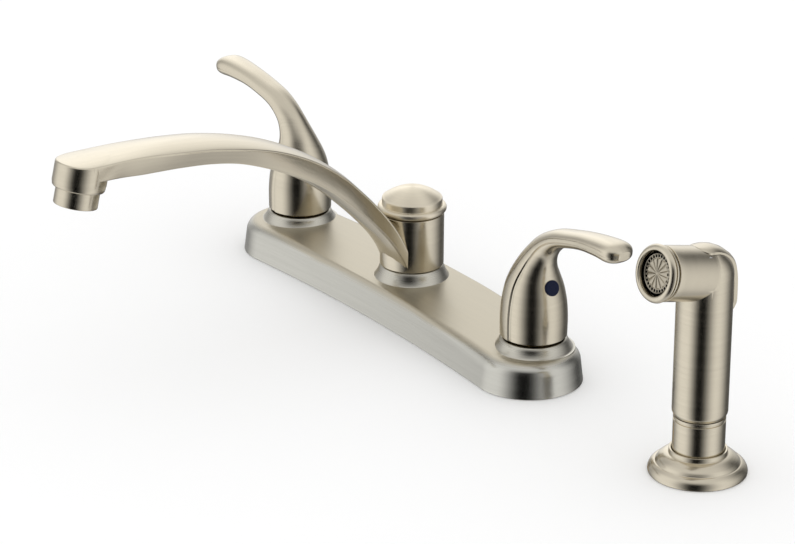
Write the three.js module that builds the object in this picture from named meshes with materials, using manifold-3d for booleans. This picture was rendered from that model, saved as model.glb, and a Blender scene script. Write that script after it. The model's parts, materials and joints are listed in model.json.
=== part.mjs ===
// A two-handle kitchen faucet on a long deck plate, with its side spray standing beside it.
// Millimetres, +Z up. The origin lies on the sink's surface, on the axis that the spout turns on.
// +X runs along the deck plate to the cold side, and -Y points to the user.
import * as THREE from "three";
import { mergeVertices } from "three/addons/utils/BufferGeometryUtils.js";
import Module from "manifold-3d";

const wasm = await Module();
wasm.setup();

// ---------------------------------------------------------------- sizes

// Clearances and shared stations
const FIT = 0.3; // between pieces that seat on or turn in each other
const HANDLE_SPAN = 203.2; // handle axis to handle axis, 8 inches
const SPRAY_X = 227.3; // the spray's axis, along the deck
const SPRAY_FORWARD = 1; // and towards the user
const DECK_GRIP = 7; // sink deck between the faucet and its nuts

// Deck plate
const PLATE_END_RADIUS = 26.6;
const PLATE_WAIST = 21.8; // from the centre line to the front's middle
const PLATE_FORWARD = 3; // its centre line lies this far in front of the valves
const PLATE_HEIGHT = 16.3; // top face at the ends
const PLATE_CROWN = 2.3; // and how much higher it is at the middle
const PLATE_DRAFT = 1.4; // the long sides lean in by this much
const PLATE_CORNER = 2; // radius of the corner over the long sides
const PLATE_END_DRAFT = 1.5; // the same two sizes of the round ends
const PLATE_SHOULDER = 5.4;
const PLATE_BLEND = 75; // length in which a side's corner turns into an end's
const PLATE_WALL = 2.5;
const BASE_THICKNESS = 3;
const BASE_INSET = 1.2; // from the plate's inner wall at the bottom

// Raised bosses on the deck plate
const HANDLE_BOSS_TOP = 21.4;
const HANDLE_BOSS_RADIUS = 16.3;
const HANDLE_BOSS_FLARE = 2.6;
const SPOUT_BOSS_TOP = 24.8;
const SPOUT_BOSS_RADIUS = 15.9;
const SPOUT_BOSS_FLARE = 2.9;
const BOSS_WALL = 2.8;

// Valve bodies and cartridges
const VALVE_BODY_RADIUS = 11.6;
const VALVE_BODY_RISE = 3.1; // over the boss
const VALVE_FLANGE_RADIUS = 14;
const VALVE_FLANGE = 4;
const SHANK_RADIUS = 10.4; // half inch supply thread
const SHANK_LENGTH = 52;
const SHANK_BORE = 6.5;
const CARTRIDGE_RADIUS = 8.7;
const CARTRIDGE_FLANGE = 1.6;
const CARTRIDGE_NECK_RADIUS = 7.5;
const CARTRIDGE_NECK = 4.6;
const DISC_RADIUS = 6.9;
const DISC_THICKNESS = 2;
const DISC_PORT_RADIUS = 2.2;
const DISC_PORT_OFFSET = 3.9;
const SEAL_THICKNESS = 2;
const STEM_RADIUS = 4;
const STEM_DRIVE = 3.6; // height of the drive flange on the stem
const STEM_REACH = 31.4; // how far the stem goes up inside the hub
const BONNET_RADIUS = 14.2;
const BONNET_LIP = 1.7;
const CROSSOVER_RADIUS = 4.5;
const CROSSOVER_HEIGHT = 9.4;
const CROSSOVER_WALL = 1;

// Spout post
const POST_BASE_RADIUS = 14.5;
const POST_NECK_RADIUS = 11.3;
const POST_BORE = 6.2;
const POST_RADIUS = 11.9;
const POST_THREAD_RADIUS = 9.5;
const POST_SEAL_DEPTH = 1.8;
const POST_SEAL_HEIGHT = 2.6;
const POST_WINDOW_RADIUS = 3.4;
const SPRAY_OUTLET_RADIUS = 9.5;
const SPRAY_OUTLET_LENGTH = 38;
const SPRAY_OUTLET_BORE = 4;

// Spout
const SLEEVE_RADIUS = 16;
const SLEEVE_GAP = 0.5; // open seam over the boss
const SLEEVE_TOP = 52.6;
const GLIDE_THICKNESS = 2;
const ARM_HALF_WIDTH = 12;
const ARM_CROWN = 1.5;
const ARM_FLOOR_HALF_WIDTH = 9.2;
const ARM_CHANNEL_RADIUS = 3;
const ARM_CHANNEL_DEPTH = 4.2; // channel axis below the arm's upper edges
const NOSE_RADIUS = 12.8;
const NOSE_Y = -189.1; // centre of the outlet's rim
const NOSE_Z = 107.1;
const NOSE_LEAN = THREE.MathUtils.degToRad(13); // the jet leans away from the body
const NOSE_THREAD_RADIUS = 9.9;
const NOSE_THREAD_DEPTH = 7.6;
const AERATOR_RADIUS = 10.5;
const AERATOR_DROP = 9.8;
const AERATOR_BORE = 7.6;
const AERATOR_WASHER = 1.5;
const AERATOR_SCREEN = 2.6;

// Cap over the sleeve
const CAP_BEAD_RADIUS = 17.2;
const CAP_NECK_RADIUS = 15.1;
const CAP_BEAD_HEIGHT = 5.4;
const CAP_NECK_HEIGHT = 8.6;
const CAP_HEIGHT = 11.6;
const CAP_BORE = 13.6;
const SPOUT_NUT_RADIUS = 13.2;
const SPOUT_NUT_HEIGHT = 3.6;

// Diverter inside the post
const POPPET_RADIUS = 5.7;
const POPPET_STEM_RADIUS = 1.8;
const POPPET_Z = 27;
const POPPET_HEIGHT = 4;
const POPPET_STEM = 9;
const DIVERTER_WIRE = 0.45;
const DIVERTER_COIL_RADIUS = 4.2;
const DIVERTER_SPRING_LENGTH = 12;

// Handles
const HUB_LIP = 1.2; // shadow gap under the hub
const HUB_RADIUS = 16.35;
const HUB_CAVITY_RADIUS = 14.5;
const COLD_TURN = THREE.MathUtils.degToRad(1); // the levers rest this far round
const HOT_TURN = THREE.MathUtils.degToRad(4);
const BUTTON_RADIUS = 3.9;
const BUTTON_THICKNESS = 2;
const BUTTON_PROUD = 0.3;
const BUTTON_REACH = 13.6; // from the handle's axis
const BUTTON_RISE = 27.9; // over the hub's lip
const BUTTON_TILT = THREE.MathUtils.degToRad(18);
const SET_SCREW_RADIUS = 2;

// Fixings under the deck
const SHANK_NUT_RADIUS = 20;
const SHANK_NUT_HEIGHT = 9;
const WASHER_RADIUS = 21;
const WASHER_THICKNESS = 1.6;
const WING_LENGTH = 8;
const WING_WIDTH = 5;

// Spray holder
const HOLDER_RADIUS = 22.8;
const HOLDER_COLLAR_RADIUS = 13.3;
const HOLDER_HEIGHT = 12.6;
const HOLDER_SHANK_RADIUS = 13.9;
const HOLDER_SHANK_LENGTH = 42;
const HOLDER_NUT_RADIUS = 21;
const BUSH_LENGTH = 34;
const BUSH_TOP = 5.9;
const TAIL_RADIUS = 8.6;

// Spray wand
const COLLAR_RADIUS = 12.05;
const COLLAR_TOP = 28.1;
const COLLAR_BORE = 7;
const COUPLING_BORE = 2.8;
const COUPLING_DROP = 26;
const SPIGOT_RADIUS = 4.7;
const SPIGOT_TOP = 40;
const WAND_RADIUS = 12.8;
const WAND_CHAMFER = 2;
const WAND_VALVE_BORE = 7;
const WAND_VALVE_FLOOR = 66;
const WAND_VALVE_TOP = 88;
const HEAD_Z = 96.6; // where the head's axis crosses the wand's
const HEAD_TILT = THREE.MathUtils.degToRad(12.8);
const HEAD_RADIUS = 12.6;
const HEAD_LENGTH = 25.6;
const HEAD_BORE = 8;
const HEAD_BORE_DEPTH = 14;
const BEZEL_RADIUS = 13.2;
const BEZEL_BORE = 10.6;
const BEZEL_LENGTH = 5;
const FACE_LEDGE = 1.2; // the bezel's ledge behind the face
const FACE_LEDGE_WIDTH = 1.6;
const FACE_RECESS = 2.2;
const FACE_HOLES = 24;
const FACE_HOLE_RADIUS = 0.55;
const FACE_HOLE_CIRCLE = 8.1;

// Spray valve and trigger
const VALVE_STEM_RADIUS = 2;
const VALVE_STEM_OFFSET = 3; // behind the wand's axis
const VALVE_STEM_TOP = 105.5; // just under the trigger
const VALVE_POPPET_RADIUS = 3.2;
const VALVE_POPPET_HEIGHT = 3;
const VALVE_SEAT_THICKNESS = 2;
const VALVE_WIRE = 0.45;
const VALVE_COIL_RADIUS = 2.6;
const TRIGGER_HALF_WIDTH = 6.5;
const TRIGGER_CROWN = 14; // radius across its width
const TRIGGER_LUG_HALF_WIDTH = 4.5;
const TRIGGER_LUG_RADIUS = 2.5;
const TRIGGER_PIN_RADIUS = 1;
const TRIGGER_PIN_HALF_LENGTH = 8;
const TRIGGER_PIN_Y = -4.2;
const TRIGGER_PIN_Z = 107;
const TRIGGER_TRAVEL = THREE.MathUtils.degToRad(6);
const TRIGGER_STEPS = [0.1, 0.25, 0.45, 0.65, 0.85, 1.05]; // shares of the travel that its pocket is cut at
const TRIGGER_SWEEP_ROOM = 0.7; // round the trigger at those steps

// Facets round a full turn
const FINE = 28;
const MEDIUM = 16;
const COARSE = 12;

// ---------------------------------------------------------------- worked out from the sizes

const VALVE_X = HANDLE_SPAN / 2;
const HUB_Z = HANDLE_BOSS_TOP + HUB_LIP;
const VALVE_BODY_TOP = HANDLE_BOSS_TOP + VALVE_BODY_RISE;
const VALVE_SEAT_Z = BASE_THICKNESS + 2.5;
const FIXED_DISC_Z = VALVE_SEAT_Z + FIT + SEAL_THICKNESS + FIT;
const MOVING_DISC_Z = FIXED_DISC_Z + DISC_THICKNESS + FIT;
const STEM_Z = MOVING_DISC_Z + DISC_THICKNESS + FIT;
const CARTRIDGE_FLANGE_Z = VALVE_BODY_TOP + FIT;
const CARTRIDGE_TOP = CARTRIDGE_FLANGE_Z + CARTRIDGE_FLANGE + CARTRIDGE_NECK;
const STEM_TOP = HUB_Z + STEM_REACH;
const BONNET_Z = HANDLE_BOSS_TOP + FIT;
const BONNET_TOP = CARTRIDGE_FLANGE_Z + CARTRIDGE_FLANGE + FIT + BONNET_LIP;
const SLEEVE_BOTTOM = SPOUT_BOSS_TOP + SLEEVE_GAP;
const GLIDE_Z = SPOUT_BOSS_TOP + FIT;
const POST_SHOULDER_Z = GLIDE_Z + GLIDE_THICKNESS + FIT;
const SLEEVE_BORE = POST_RADIUS + FIT;
const LOWER_SEAL_Z = POST_SHOULDER_Z + 3.6;
const UPPER_SEAL_Z = SLEEVE_TOP - 3.6;
const POST_WINDOW_Z = (LOWER_SEAL_Z + UPPER_SEAL_Z) / 2;
const POST_TOP = SLEEVE_TOP + FIT + SPOUT_NUT_HEIGHT;
const CAP_Z = SLEEVE_TOP + FIT;
const HEAD_OUT = new THREE.Vector3(0, -Math.cos(HEAD_TILT), Math.sin(HEAD_TILT));
const COLLAR_BOTTOM = BUSH_TOP + FIT;

// ---------------------------------------------------------------- geometry helpers

function vec(x, y, z) {
  return new THREE.Vector3(x, y, z);
}

// A closed mesh with merged corners, facing out, as a solid for cutting and joining.
function toSolid(geometry) {
  const bare = new THREE.BufferGeometry();
  bare.setAttribute("position", geometry.getAttribute("position").clone());
  if (geometry.index) bare.setIndex(geometry.index.clone());
  const merged = mergeVertices(bare, 1e-4);
  const points = merged.getAttribute("position").array;
  const corners = [];
  let volume = 0;
  const a = new THREE.Vector3();
  const b = new THREE.Vector3();
  const c = new THREE.Vector3();
  for (let i = 0; i < merged.index.count; i += 3) {
    const [p, q, r] = [0, 1, 2].map((k) => merged.index.getX(i + k));
    if (p === q || q === r || r === p) continue;
    corners.push(p, q, r);
    a.fromArray(points, 3 * p);
    b.fromArray(points, 3 * q);
    c.fromArray(points, 3 * r);
    volume += a.dot(b.cross(c));
  }
  if (volume < 0) corners.reverse();
  return new wasm.Manifold(
    new wasm.Mesh({
      numProp: 3,
      vertProperties: new Float32Array(points),
      triVerts: new Uint32Array(corners),
    }),
  );
}

function fromSolid(solid) {
  const mesh = solid.getMesh();
  const geometry = new THREE.BufferGeometry();
  geometry.setAttribute("position", new THREE.BufferAttribute(new Float32Array(mesh.vertProperties), 3));
  geometry.setIndex(new THREE.BufferAttribute(new Uint32Array(mesh.triVerts), 1));
  geometry.computeVertexNormals();
  return geometry;
}

function join(...geometries) {
  return fromSolid(geometries.map(toSolid).reduce((sum, next) => sum.add(next)));
}

function cut(geometry, ...tools) {
  return fromSolid(tools.map(toSolid).reduce((rest, tool) => rest.subtract(tool), toSolid(geometry)));
}

function overlapOf(geometry, other) {
  return fromSolid(toSolid(geometry).intersect(toSolid(other)));
}

// A piece turned about Z from [radius, height] points that start and end on the axis.
function turned(points, facets = MEDIUM) {
  const profile = points.map(([radius, height]) => new THREE.Vector2(radius, height));
  return new THREE.LatheGeometry(profile, facets).rotateX(Math.PI / 2);
}

// A ring turned about Z, whose profile closes on itself.
function turnedRing(points, facets = MEDIUM) {
  return turned([...points, points[0]], facets);
}

function tubeRing(inner, outer, bottom, top, facets = MEDIUM) {
  const profile = [
    [inner, bottom],
    [outer, bottom],
    [outer, top],
    [inner, top],
  ];
  return turnedRing(profile, facets);
}

// A round bar between two points.
function bar(from, to, radius, facets = COARSE) {
  const along = to.clone().sub(from);
  const geometry = new THREE.CylinderGeometry(radius, radius, along.length(), facets);
  const turn = new THREE.Quaternion().setFromUnitVectors(vec(0, 1, 0), along.clone().normalize());
  const middle = from.clone().add(to).multiplyScalar(0.5);
  return geometry.applyQuaternion(turn).translate(middle.x, middle.y, middle.z);
}

function block(low, high) {
  const size = high.clone().sub(low);
  const middle = high.clone().add(low).multiplyScalar(0.5);
  return new THREE.BoxGeometry(size.x, size.y, size.z).translate(middle.x, middle.y, middle.z);
}

// A skin over rings with the same number of points. Each end closes on the ring's middle, or,
// on a ring whose two halves mirror each other, by strips from side to side.
function loft(rings, mirrorEnds = false) {
  const count = rings[0].length;
  const points = rings.flat();
  const faces = [];
  for (let k = 0; k + 1 < rings.length; k += 1) {
    for (let i = 0; i < count; i += 1) {
      const j = (i + 1) % count;
      const [a, b, c, d] = [k * count + i, k * count + j, (k + 1) * count + j, (k + 1) * count + i];
      faces.push(a, b, c, a, c, d);
    }
  }
  const ends = [
    [0, true],
    [(rings.length - 1) * count, false],
  ];
  ends.forEach(([start, flip]) => {
    if (mirrorEnds) {
      for (let i = 0; i < count / 2 - 1; i += 1) {
        const [a, b, c, d] = [start + i, start + i + 1, start + count - 2 - i, start + count - 1 - i];
        faces.push(...(flip ? [a, c, b, a, d, c] : [a, b, c, a, c, d]));
      }
      return;
    }
    const middle = new THREE.Vector3();
    for (let i = 0; i < count; i += 1) middle.addScaledVector(points[start + i], 1 / count);
    points.push(middle);
    for (let i = 0; i < count; i += 1) {
      const [a, b] = [start + i, start + ((i + 1) % count)];
      faces.push(...(flip ? [b, a, points.length - 1] : [a, b, points.length - 1]));
    }
  });
  const geometry = new THREE.BufferGeometry().setFromPoints(points);
  geometry.setIndex(faces);
  return geometry;
}

// A flat outline pushed along an axis.
function pushed(points, length) {
  return new THREE.ExtrudeGeometry(new THREE.Shape(points), { depth: length, bevelEnabled: false });
}

// A round section pushed along a curve.
function pipe(curve, radius, steps, sides) {
  const circle = new THREE.Shape(roundPoints(0, 0, radius, sides));
  return new THREE.ExtrudeGeometry(circle, { steps, extrudePath: curve, bevelEnabled: false });
}

class Helix extends THREE.Curve {
  constructor(radius, bottom, top, turns) {
    super();
    Object.assign(this, { radius, bottom, top, turns });
  }

  getPoint(t) {
    const angle = 2 * Math.PI * this.turns * t;
    const height = this.bottom + (this.top - this.bottom) * t;
    return vec(this.radius * Math.cos(angle), this.radius * Math.sin(angle), height);
  }
}

function spring(radius, wire, bottom, top, turns) {
  return pipe(new Helix(radius, bottom + wire, top - wire, turns), wire, 8 * turns, 5);
}

// ---------------------------------------------------------------- materials

function metal(color, roughness) {
  return new THREE.MeshStandardMaterial({ color, metalness: 1, roughness });
}

function plain(color, roughness) {
  return new THREE.MeshStandardMaterial({ color, metalness: 0, roughness });
}

const nickel = () => metal(0xb8b0a2, 0.32);
const brass = () => metal(0xb5985a, 0.4);
const copper = () => metal(0xb87050, 0.35);
const steel = () => metal(0xa8a8a8, 0.35);
const rubber = () => plain(0x1c1c1c, 0.8);
const ceramic = () => plain(0xe8e4da, 0.3);
const whitePlastic = () => plain(0xd8d8d4, 0.5);
const greyPlastic = () => plain(0x77777a, 0.55);
const bluePlastic = () => plain(0x14203a, 0.3);
const redPlastic = () => plain(0x8c1a1a, 0.3);

function piece(parent, name, geometry, material) {
  const mesh = new THREE.Mesh(geometry, material);
  mesh.name = name;
  parent.add(mesh);
  return mesh;
}

// ---------------------------------------------------------------- deck plate

// Points and outward directions along one long side of the deck plate, round from the cold end's
// tip to the hot end's. The side lies at the given distance from the centre line at its middle.
function plateSide(middle) {
  const meet = Math.atan((2 * (PLATE_END_RADIUS - middle)) / VALVE_X);
  const meetX = VALVE_X - PLATE_END_RADIUS * Math.sin(meet);
  const bow = (PLATE_END_RADIUS * Math.cos(meet) - middle) / (meetX * meetX);
  const arcSteps = 7;
  const sideSteps = 10;
  const arc = Array.from({ length: arcSteps }, (_, i) => {
    const angle = ((i + 0.5) / arcSteps) * (Math.PI / 2 + meet);
    const out = vec(Math.cos(angle), Math.sin(angle), 0);
    return { point: vec(VALVE_X, 0, 0).addScaledVector(out, PLATE_END_RADIUS), out };
  });
  const side = Array.from({ length: sideSteps + 1 }, (_, i) => {
    const x = meetX * (1 - (2 * i) / sideSteps);
    return { point: vec(x, middle + bow * x * x, 0), out: vec(-2 * bow * x, 1, 0).normalize() };
  });
  const flip = ({ x, y, z }) => vec(-x, y, z);
  const farArc = arc.map(({ point, out }) => ({ point: flip(point), out: flip(out) })).reverse();
  return [...arc, ...side, ...farArc];
}

// The deck plate's outline, straight at the back and waisted at the front, moved in by one size
// along its sides and by another round its ends. A point of the back and the front's point that
// faces it lie the same way in from the list's two ends.
function plateOutline(sideInset, endInset, height, crown) {
  const back = plateSide(PLATE_END_RADIUS);
  const turnedOver = ({ x, y, z }) => vec(x, -y, z);
  const front = plateSide(PLATE_WAIST)
    .map(({ point, out }) => ({ point: turnedOver(point), out: turnedOver(out) }))
    .reverse();
  return [...back, ...front].map(({ point, out }) => {
    const reach = Math.abs(point.x);
    const along = Math.min(1, reach / VALVE_X);
    const share = THREE.MathUtils.smoothstep(reach, VALVE_X - PLATE_BLEND, VALVE_X);
    const inset = sideInset + (endInset - sideInset) * share;
    const lift = vec(0, -PLATE_FORWARD, height + crown * (1 - along * along));
    return point.clone().addScaledVector(out, -inset).add(lift);
  });
}

function plateBody() {
  const shoulderFoot = PLATE_HEIGHT - PLATE_SHOULDER;
  const wallTop = PLATE_HEIGHT - PLATE_CORNER;
  const end = (share) => PLATE_END_DRAFT + PLATE_SHOULDER * share;
  return loft(
    [
      plateOutline(0, 0, 0, 0),
      plateOutline(PLATE_DRAFT * 0.7, end(0), shoulderFoot, PLATE_CROWN * 0.7),
      plateOutline(PLATE_DRAFT, end(0.27), wallTop, PLATE_CROWN),
      plateOutline(PLATE_DRAFT + PLATE_CORNER * 0.35, end(0.55), wallTop + PLATE_CORNER * 0.65, PLATE_CROWN),
      plateOutline(PLATE_DRAFT + PLATE_CORNER, end(0.9), PLATE_HEIGHT - 0.15, PLATE_CROWN),
      plateOutline(PLATE_WAIST - 5, PLATE_WAIST - 5, PLATE_HEIGHT + 0.3, PLATE_CROWN),
    ],
    true,
  );
}

function plateHollow() {
  const ceiling = PLATE_HEIGHT - PLATE_WALL;
  const side = PLATE_WALL + PLATE_DRAFT;
  const end = PLATE_WALL + PLATE_END_DRAFT;
  return loft(
    [
      plateOutline(PLATE_WALL, PLATE_WALL, -1, 0),
      plateOutline(side, end + PLATE_SHOULDER * 0.27, ceiling - PLATE_CORNER, PLATE_CROWN),
      plateOutline(side + PLATE_CORNER, end + PLATE_SHOULDER, ceiling, PLATE_CROWN),
    ],
    true,
  );
}

function bossSolid(radius, flare, top, foot) {
  const rise = top - foot;
  return turned(
    [
      [0, foot - 3],
      [radius + flare, foot - 3],
      [radius + flare, foot],
      [radius + flare * 0.5, foot + rise * 0.44],
      [radius + flare * 0.12, foot + rise * 0.86],
      [radius - 0.6, top],
      [0, top],
    ],
    FINE,
  );
}

function deckPlate() {
  const handleFoot = PLATE_HEIGHT + 0.2;
  const spoutFoot = PLATE_HEIGHT + PLATE_CROWN;
  const handleBoss = bossSolid(HANDLE_BOSS_RADIUS, HANDLE_BOSS_FLARE, HANDLE_BOSS_TOP, handleFoot);
  const spoutBoss = bossSolid(SPOUT_BOSS_RADIUS, SPOUT_BOSS_FLARE, SPOUT_BOSS_TOP, spoutFoot);
  const outside = join(
    plateBody(),
    handleBoss.clone().translate(VALVE_X, 0, 0),
    handleBoss.clone().translate(-VALVE_X, 0, 0),
    spoutBoss,
  );
  const handleHollow = turned([
    [0, BASE_THICKNESS],
    [HANDLE_BOSS_RADIUS + FIT, BASE_THICKNESS],
    [HANDLE_BOSS_RADIUS + FIT, PLATE_HEIGHT - BOSS_WALL],
    [HANDLE_BOSS_RADIUS - BOSS_WALL, HANDLE_BOSS_TOP - BOSS_WALL],
    [0, HANDLE_BOSS_TOP - BOSS_WALL],
  ]);
  const spoutHollow = turned([
    [0, BASE_THICKNESS],
    [SPOUT_BOSS_RADIUS, BASE_THICKNESS],
    [SPOUT_BOSS_RADIUS, spoutFoot - BOSS_WALL],
    [SPOUT_BOSS_RADIUS - BOSS_WALL, SPOUT_BOSS_TOP - BOSS_WALL],
    [0, SPOUT_BOSS_TOP - BOSS_WALL],
  ]);
  const handleBore = bar(vec(0, 0, 0), vec(0, 0, HUB_Z + 5), VALVE_BODY_RADIUS + FIT, MEDIUM);
  const spoutBore = bar(vec(0, 0, 0), vec(0, 0, SLEEVE_BOTTOM + 5), POST_NECK_RADIUS + FIT, MEDIUM);
  return cut(
    outside,
    plateHollow(),
    handleHollow.clone().translate(VALVE_X, 0, 0),
    handleHollow.clone().translate(-VALVE_X, 0, 0),
    spoutHollow,
    handleBore.clone().translate(VALVE_X, 0, 0),
    handleBore.clone().translate(-VALVE_X, 0, 0),
    spoutBore,
  );
}

function basePlate() {
  const inset = PLATE_WALL + BASE_INSET;
  const rings = [0, BASE_THICKNESS].map((height) => plateOutline(inset, inset, height, 0));
  const body = loft(rings, true);
  const shankHole = bar(vec(0, 0, -1), vec(0, 0, BASE_THICKNESS + 1), SHANK_RADIUS + FIT, MEDIUM);
  const outletHole = bar(vec(0, 0, -1), vec(0, 0, BASE_THICKNESS + 1), SPRAY_OUTLET_RADIUS + FIT, MEDIUM);
  return cut(
    body,
    shankHole.clone().translate(VALVE_X, 0, 0),
    shankHole.clone().translate(-VALVE_X, 0, 0),
    outletHole,
  );
}

// ---------------------------------------------------------------- valves

function valveBody() {
  const flangeZ = BASE_THICKNESS + FIT;
  const body = turnedRing([
    [SHANK_BORE, -SHANK_LENGTH],
    [SHANK_RADIUS, -SHANK_LENGTH],
    [SHANK_RADIUS, flangeZ],
    [VALVE_FLANGE_RADIUS, flangeZ],
    [VALVE_FLANGE_RADIUS, flangeZ + VALVE_FLANGE],
    [VALVE_BODY_RADIUS, flangeZ + VALVE_FLANGE],
    [VALVE_BODY_RADIUS, VALVE_BODY_TOP],
    [CARTRIDGE_RADIUS + FIT, VALVE_BODY_TOP],
    [CARTRIDGE_RADIUS + FIT, VALVE_SEAT_Z],
    [SHANK_BORE, VALVE_SEAT_Z],
  ]);
  const port = bar(
    vec(-VALVE_FLANGE_RADIUS - 1, 0, CROSSOVER_HEIGHT),
    vec(-CARTRIDGE_RADIUS + 1, 0, CROSSOVER_HEIGHT),
    CROSSOVER_RADIUS + FIT,
  );
  return cut(body, port);
}

function cartridge() {
  const chamber = DISC_RADIUS + FIT;
  const ceiling = STEM_Z + STEM_DRIVE + FIT;
  const shell = turnedRing([
    [chamber, FIXED_DISC_Z],
    [CARTRIDGE_RADIUS, FIXED_DISC_Z],
    [CARTRIDGE_RADIUS, CARTRIDGE_FLANGE_Z],
    [VALVE_BODY_RADIUS - 0.4, CARTRIDGE_FLANGE_Z],
    [VALVE_BODY_RADIUS - 0.4, CARTRIDGE_FLANGE_Z + CARTRIDGE_FLANGE],
    [CARTRIDGE_NECK_RADIUS, CARTRIDGE_FLANGE_Z + CARTRIDGE_FLANGE],
    [CARTRIDGE_NECK_RADIUS, CARTRIDGE_TOP],
    [STEM_RADIUS + FIT, CARTRIDGE_TOP],
    [STEM_RADIUS + FIT, ceiling],
    [chamber, ceiling],
  ]);
  const windowZ = MOVING_DISC_Z + DISC_THICKNESS / 2;
  const window = bar(vec(-VALVE_BODY_RADIUS, 0, windowZ), vec(0, 0, windowZ), DISC_PORT_RADIUS, 12);
  return cut(shell, window);
}

function valveDisc(bottom, turn) {
  const disc = bar(vec(0, 0, bottom), vec(0, 0, bottom + DISC_THICKNESS), DISC_RADIUS);
  const ports = [-1, 1].map((side) => {
    const x = side * DISC_PORT_OFFSET * Math.cos(turn);
    const y = side * DISC_PORT_OFFSET * Math.sin(turn);
    return bar(vec(x, y, bottom - 1), vec(x, y, bottom + DISC_THICKNESS + 1), DISC_PORT_RADIUS, 12);
  });
  return cut(disc, ...ports);
}

function stem() {
  return turned(
    [
      [0, STEM_Z],
      [DISC_RADIUS, STEM_Z],
      [DISC_RADIUS, STEM_Z + STEM_DRIVE],
      [STEM_RADIUS, STEM_Z + STEM_DRIVE],
      [STEM_RADIUS, STEM_TOP],
      [0, STEM_TOP],
    ],
    COARSE,
  );
}

function bonnetNut() {
  const nut = turnedRing([
    [VALVE_BODY_RADIUS + FIT, BONNET_Z],
    [BONNET_RADIUS, BONNET_Z],
    [BONNET_RADIUS, BONNET_TOP],
    [CARTRIDGE_NECK_RADIUS + FIT, BONNET_TOP],
    [CARTRIDGE_NECK_RADIUS + FIT, BONNET_TOP - BONNET_LIP],
    [VALVE_BODY_RADIUS + FIT, BONNET_TOP - BONNET_LIP],
  ]);
  return nut;
}

function wingNut(bore, radius, top, height) {
  const ring = tubeRing(bore + FIT, radius * 0.72, top - height, top);
  const wings = [0, Math.PI / 2].map((turn) =>
    block(
      vec(-radius - WING_LENGTH / 2, -WING_WIDTH / 2, top - height),
      vec(radius + WING_LENGTH / 2, WING_WIDTH / 2, top - height / 3),
    ).rotateZ(turn),
  );
  const hole = bar(vec(0, 0, top - height - 1), vec(0, 0, top + 1), bore + FIT, MEDIUM);
  return cut(join(ring, ...wings), hole);
}

// ---------------------------------------------------------------- handle

// [reach, height over the lip, half width, half thickness] down the middle of the handle,
// from the hub's lip up and over to the lever's tip.
const HORN = [
  [0, 0, HUB_RADIUS, HUB_RADIUS],
  [0, 9.4, HUB_RADIUS + 0.1, HUB_RADIUS + 0.1],
  [0, 16.4, HUB_RADIUS - 0.35, HUB_RADIUS - 0.35],
  [0, 21.4, HUB_RADIUS - 1.15, HUB_RADIUS - 1.15],
  [0.2, 26.4, HUB_RADIUS - 2.3, HUB_RADIUS - 2.3],
  [0.85, 31.4, 12.2, 12.3],
  [2.15, 36.4, 10, 10.3],
  [4.4, 41.4, 8.4, 8.4],
  [7.8, 46.5, 7.4, 6.9],
  [12.4, 50.9, 7.1, 5.6],
  [19, 54.8, 7, 4.7],
  [28, 57.6, 7.1, 4.2],
  [39, 60, 7.3, 4.2],
  [51, 61.3, 8, 4.6],
  [59.5, 61.5, 8.3, 4.8],
  [63.5, 61.4, 6.6, 3.8],
  [65.7, 61.3, 3.6, 2.1],
];

function hornRings() {
  const sides = 16;
  const spine = HORN.map(([reach, rise]) => vec(reach, 0, HUB_Z + rise));
  return HORN.map(([, , halfWidth, halfThick], k) => {
    const before = spine[Math.max(0, k - 1)];
    const after = spine[Math.min(spine.length - 1, k + 1)];
    const along = k === 0 ? vec(0, 0, 1) : after.clone().sub(before).normalize();
    const out = vec(0, 1, 0).cross(along).normalize();
    const roundness = 2 + 0.5 * Math.max(0, Math.min(1, (k - 8) / 3));
    return Array.from({ length: sides }, (_, i) => {
      const angle = (2 * Math.PI * i) / sides;
      const [c, s] = [Math.cos(angle), Math.sin(angle)];
      const wide = Math.sign(c) * Math.abs(c) ** (2 / roundness) * halfWidth;
      const thick = Math.sign(s) * Math.abs(s) ** (2 / roundness) * halfThick;
      return spine[k].clone().add(vec(0, wide, 0)).addScaledVector(out, thick);
    });
  });
}

function buttonPlace() {
  const place = new THREE.Group();
  place.position.set(BUTTON_REACH, 0, HUB_Z + BUTTON_RISE);
  place.rotation.y = Math.PI / 2 - BUTTON_TILT;
  place.updateMatrix();
  return place;
}

function handle() {
  const place = buttonPlace();
  const recessDepth = BUTTON_THICKNESS - BUTTON_PROUD + FIT;
  const recess = bar(vec(0, 0, -recessDepth), vec(0, 0, 6), BUTTON_RADIUS + FIT);
  const screwHole = bar(vec(0, 0, -BUTTON_REACH + 2), vec(0, 0, 0), SET_SCREW_RADIUS + FIT, 16);
  const cavity = turned([
    [0, HUB_Z - 1],
    [HUB_CAVITY_RADIUS, HUB_Z - 1],
    [HUB_CAVITY_RADIUS, BONNET_TOP + FIT],
    [CARTRIDGE_NECK_RADIUS + FIT, BONNET_TOP + FIT],
    [CARTRIDGE_NECK_RADIUS + FIT, CARTRIDGE_TOP + FIT],
    [STEM_RADIUS + FIT, CARTRIDGE_TOP + FIT],
    [STEM_RADIUS + FIT, STEM_TOP + FIT],
    [0, STEM_TOP + FIT],
  ]);
  return cut(
    loft(hornRings()),
    cavity,
    recess.applyMatrix4(place.matrix),
    screwHole.applyMatrix4(place.matrix),
  );
}

function indexButton() {
  const bottom = BUTTON_PROUD - BUTTON_THICKNESS;
  return turned(
    [
      [0, bottom],
      [BUTTON_RADIUS, bottom],
      [BUTTON_RADIUS, BUTTON_PROUD - 0.3],
      [BUTTON_RADIUS * 0.7, BUTTON_PROUD],
      [0, BUTTON_PROUD + 0.1],
    ],
    COARSE,
  );
}

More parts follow.
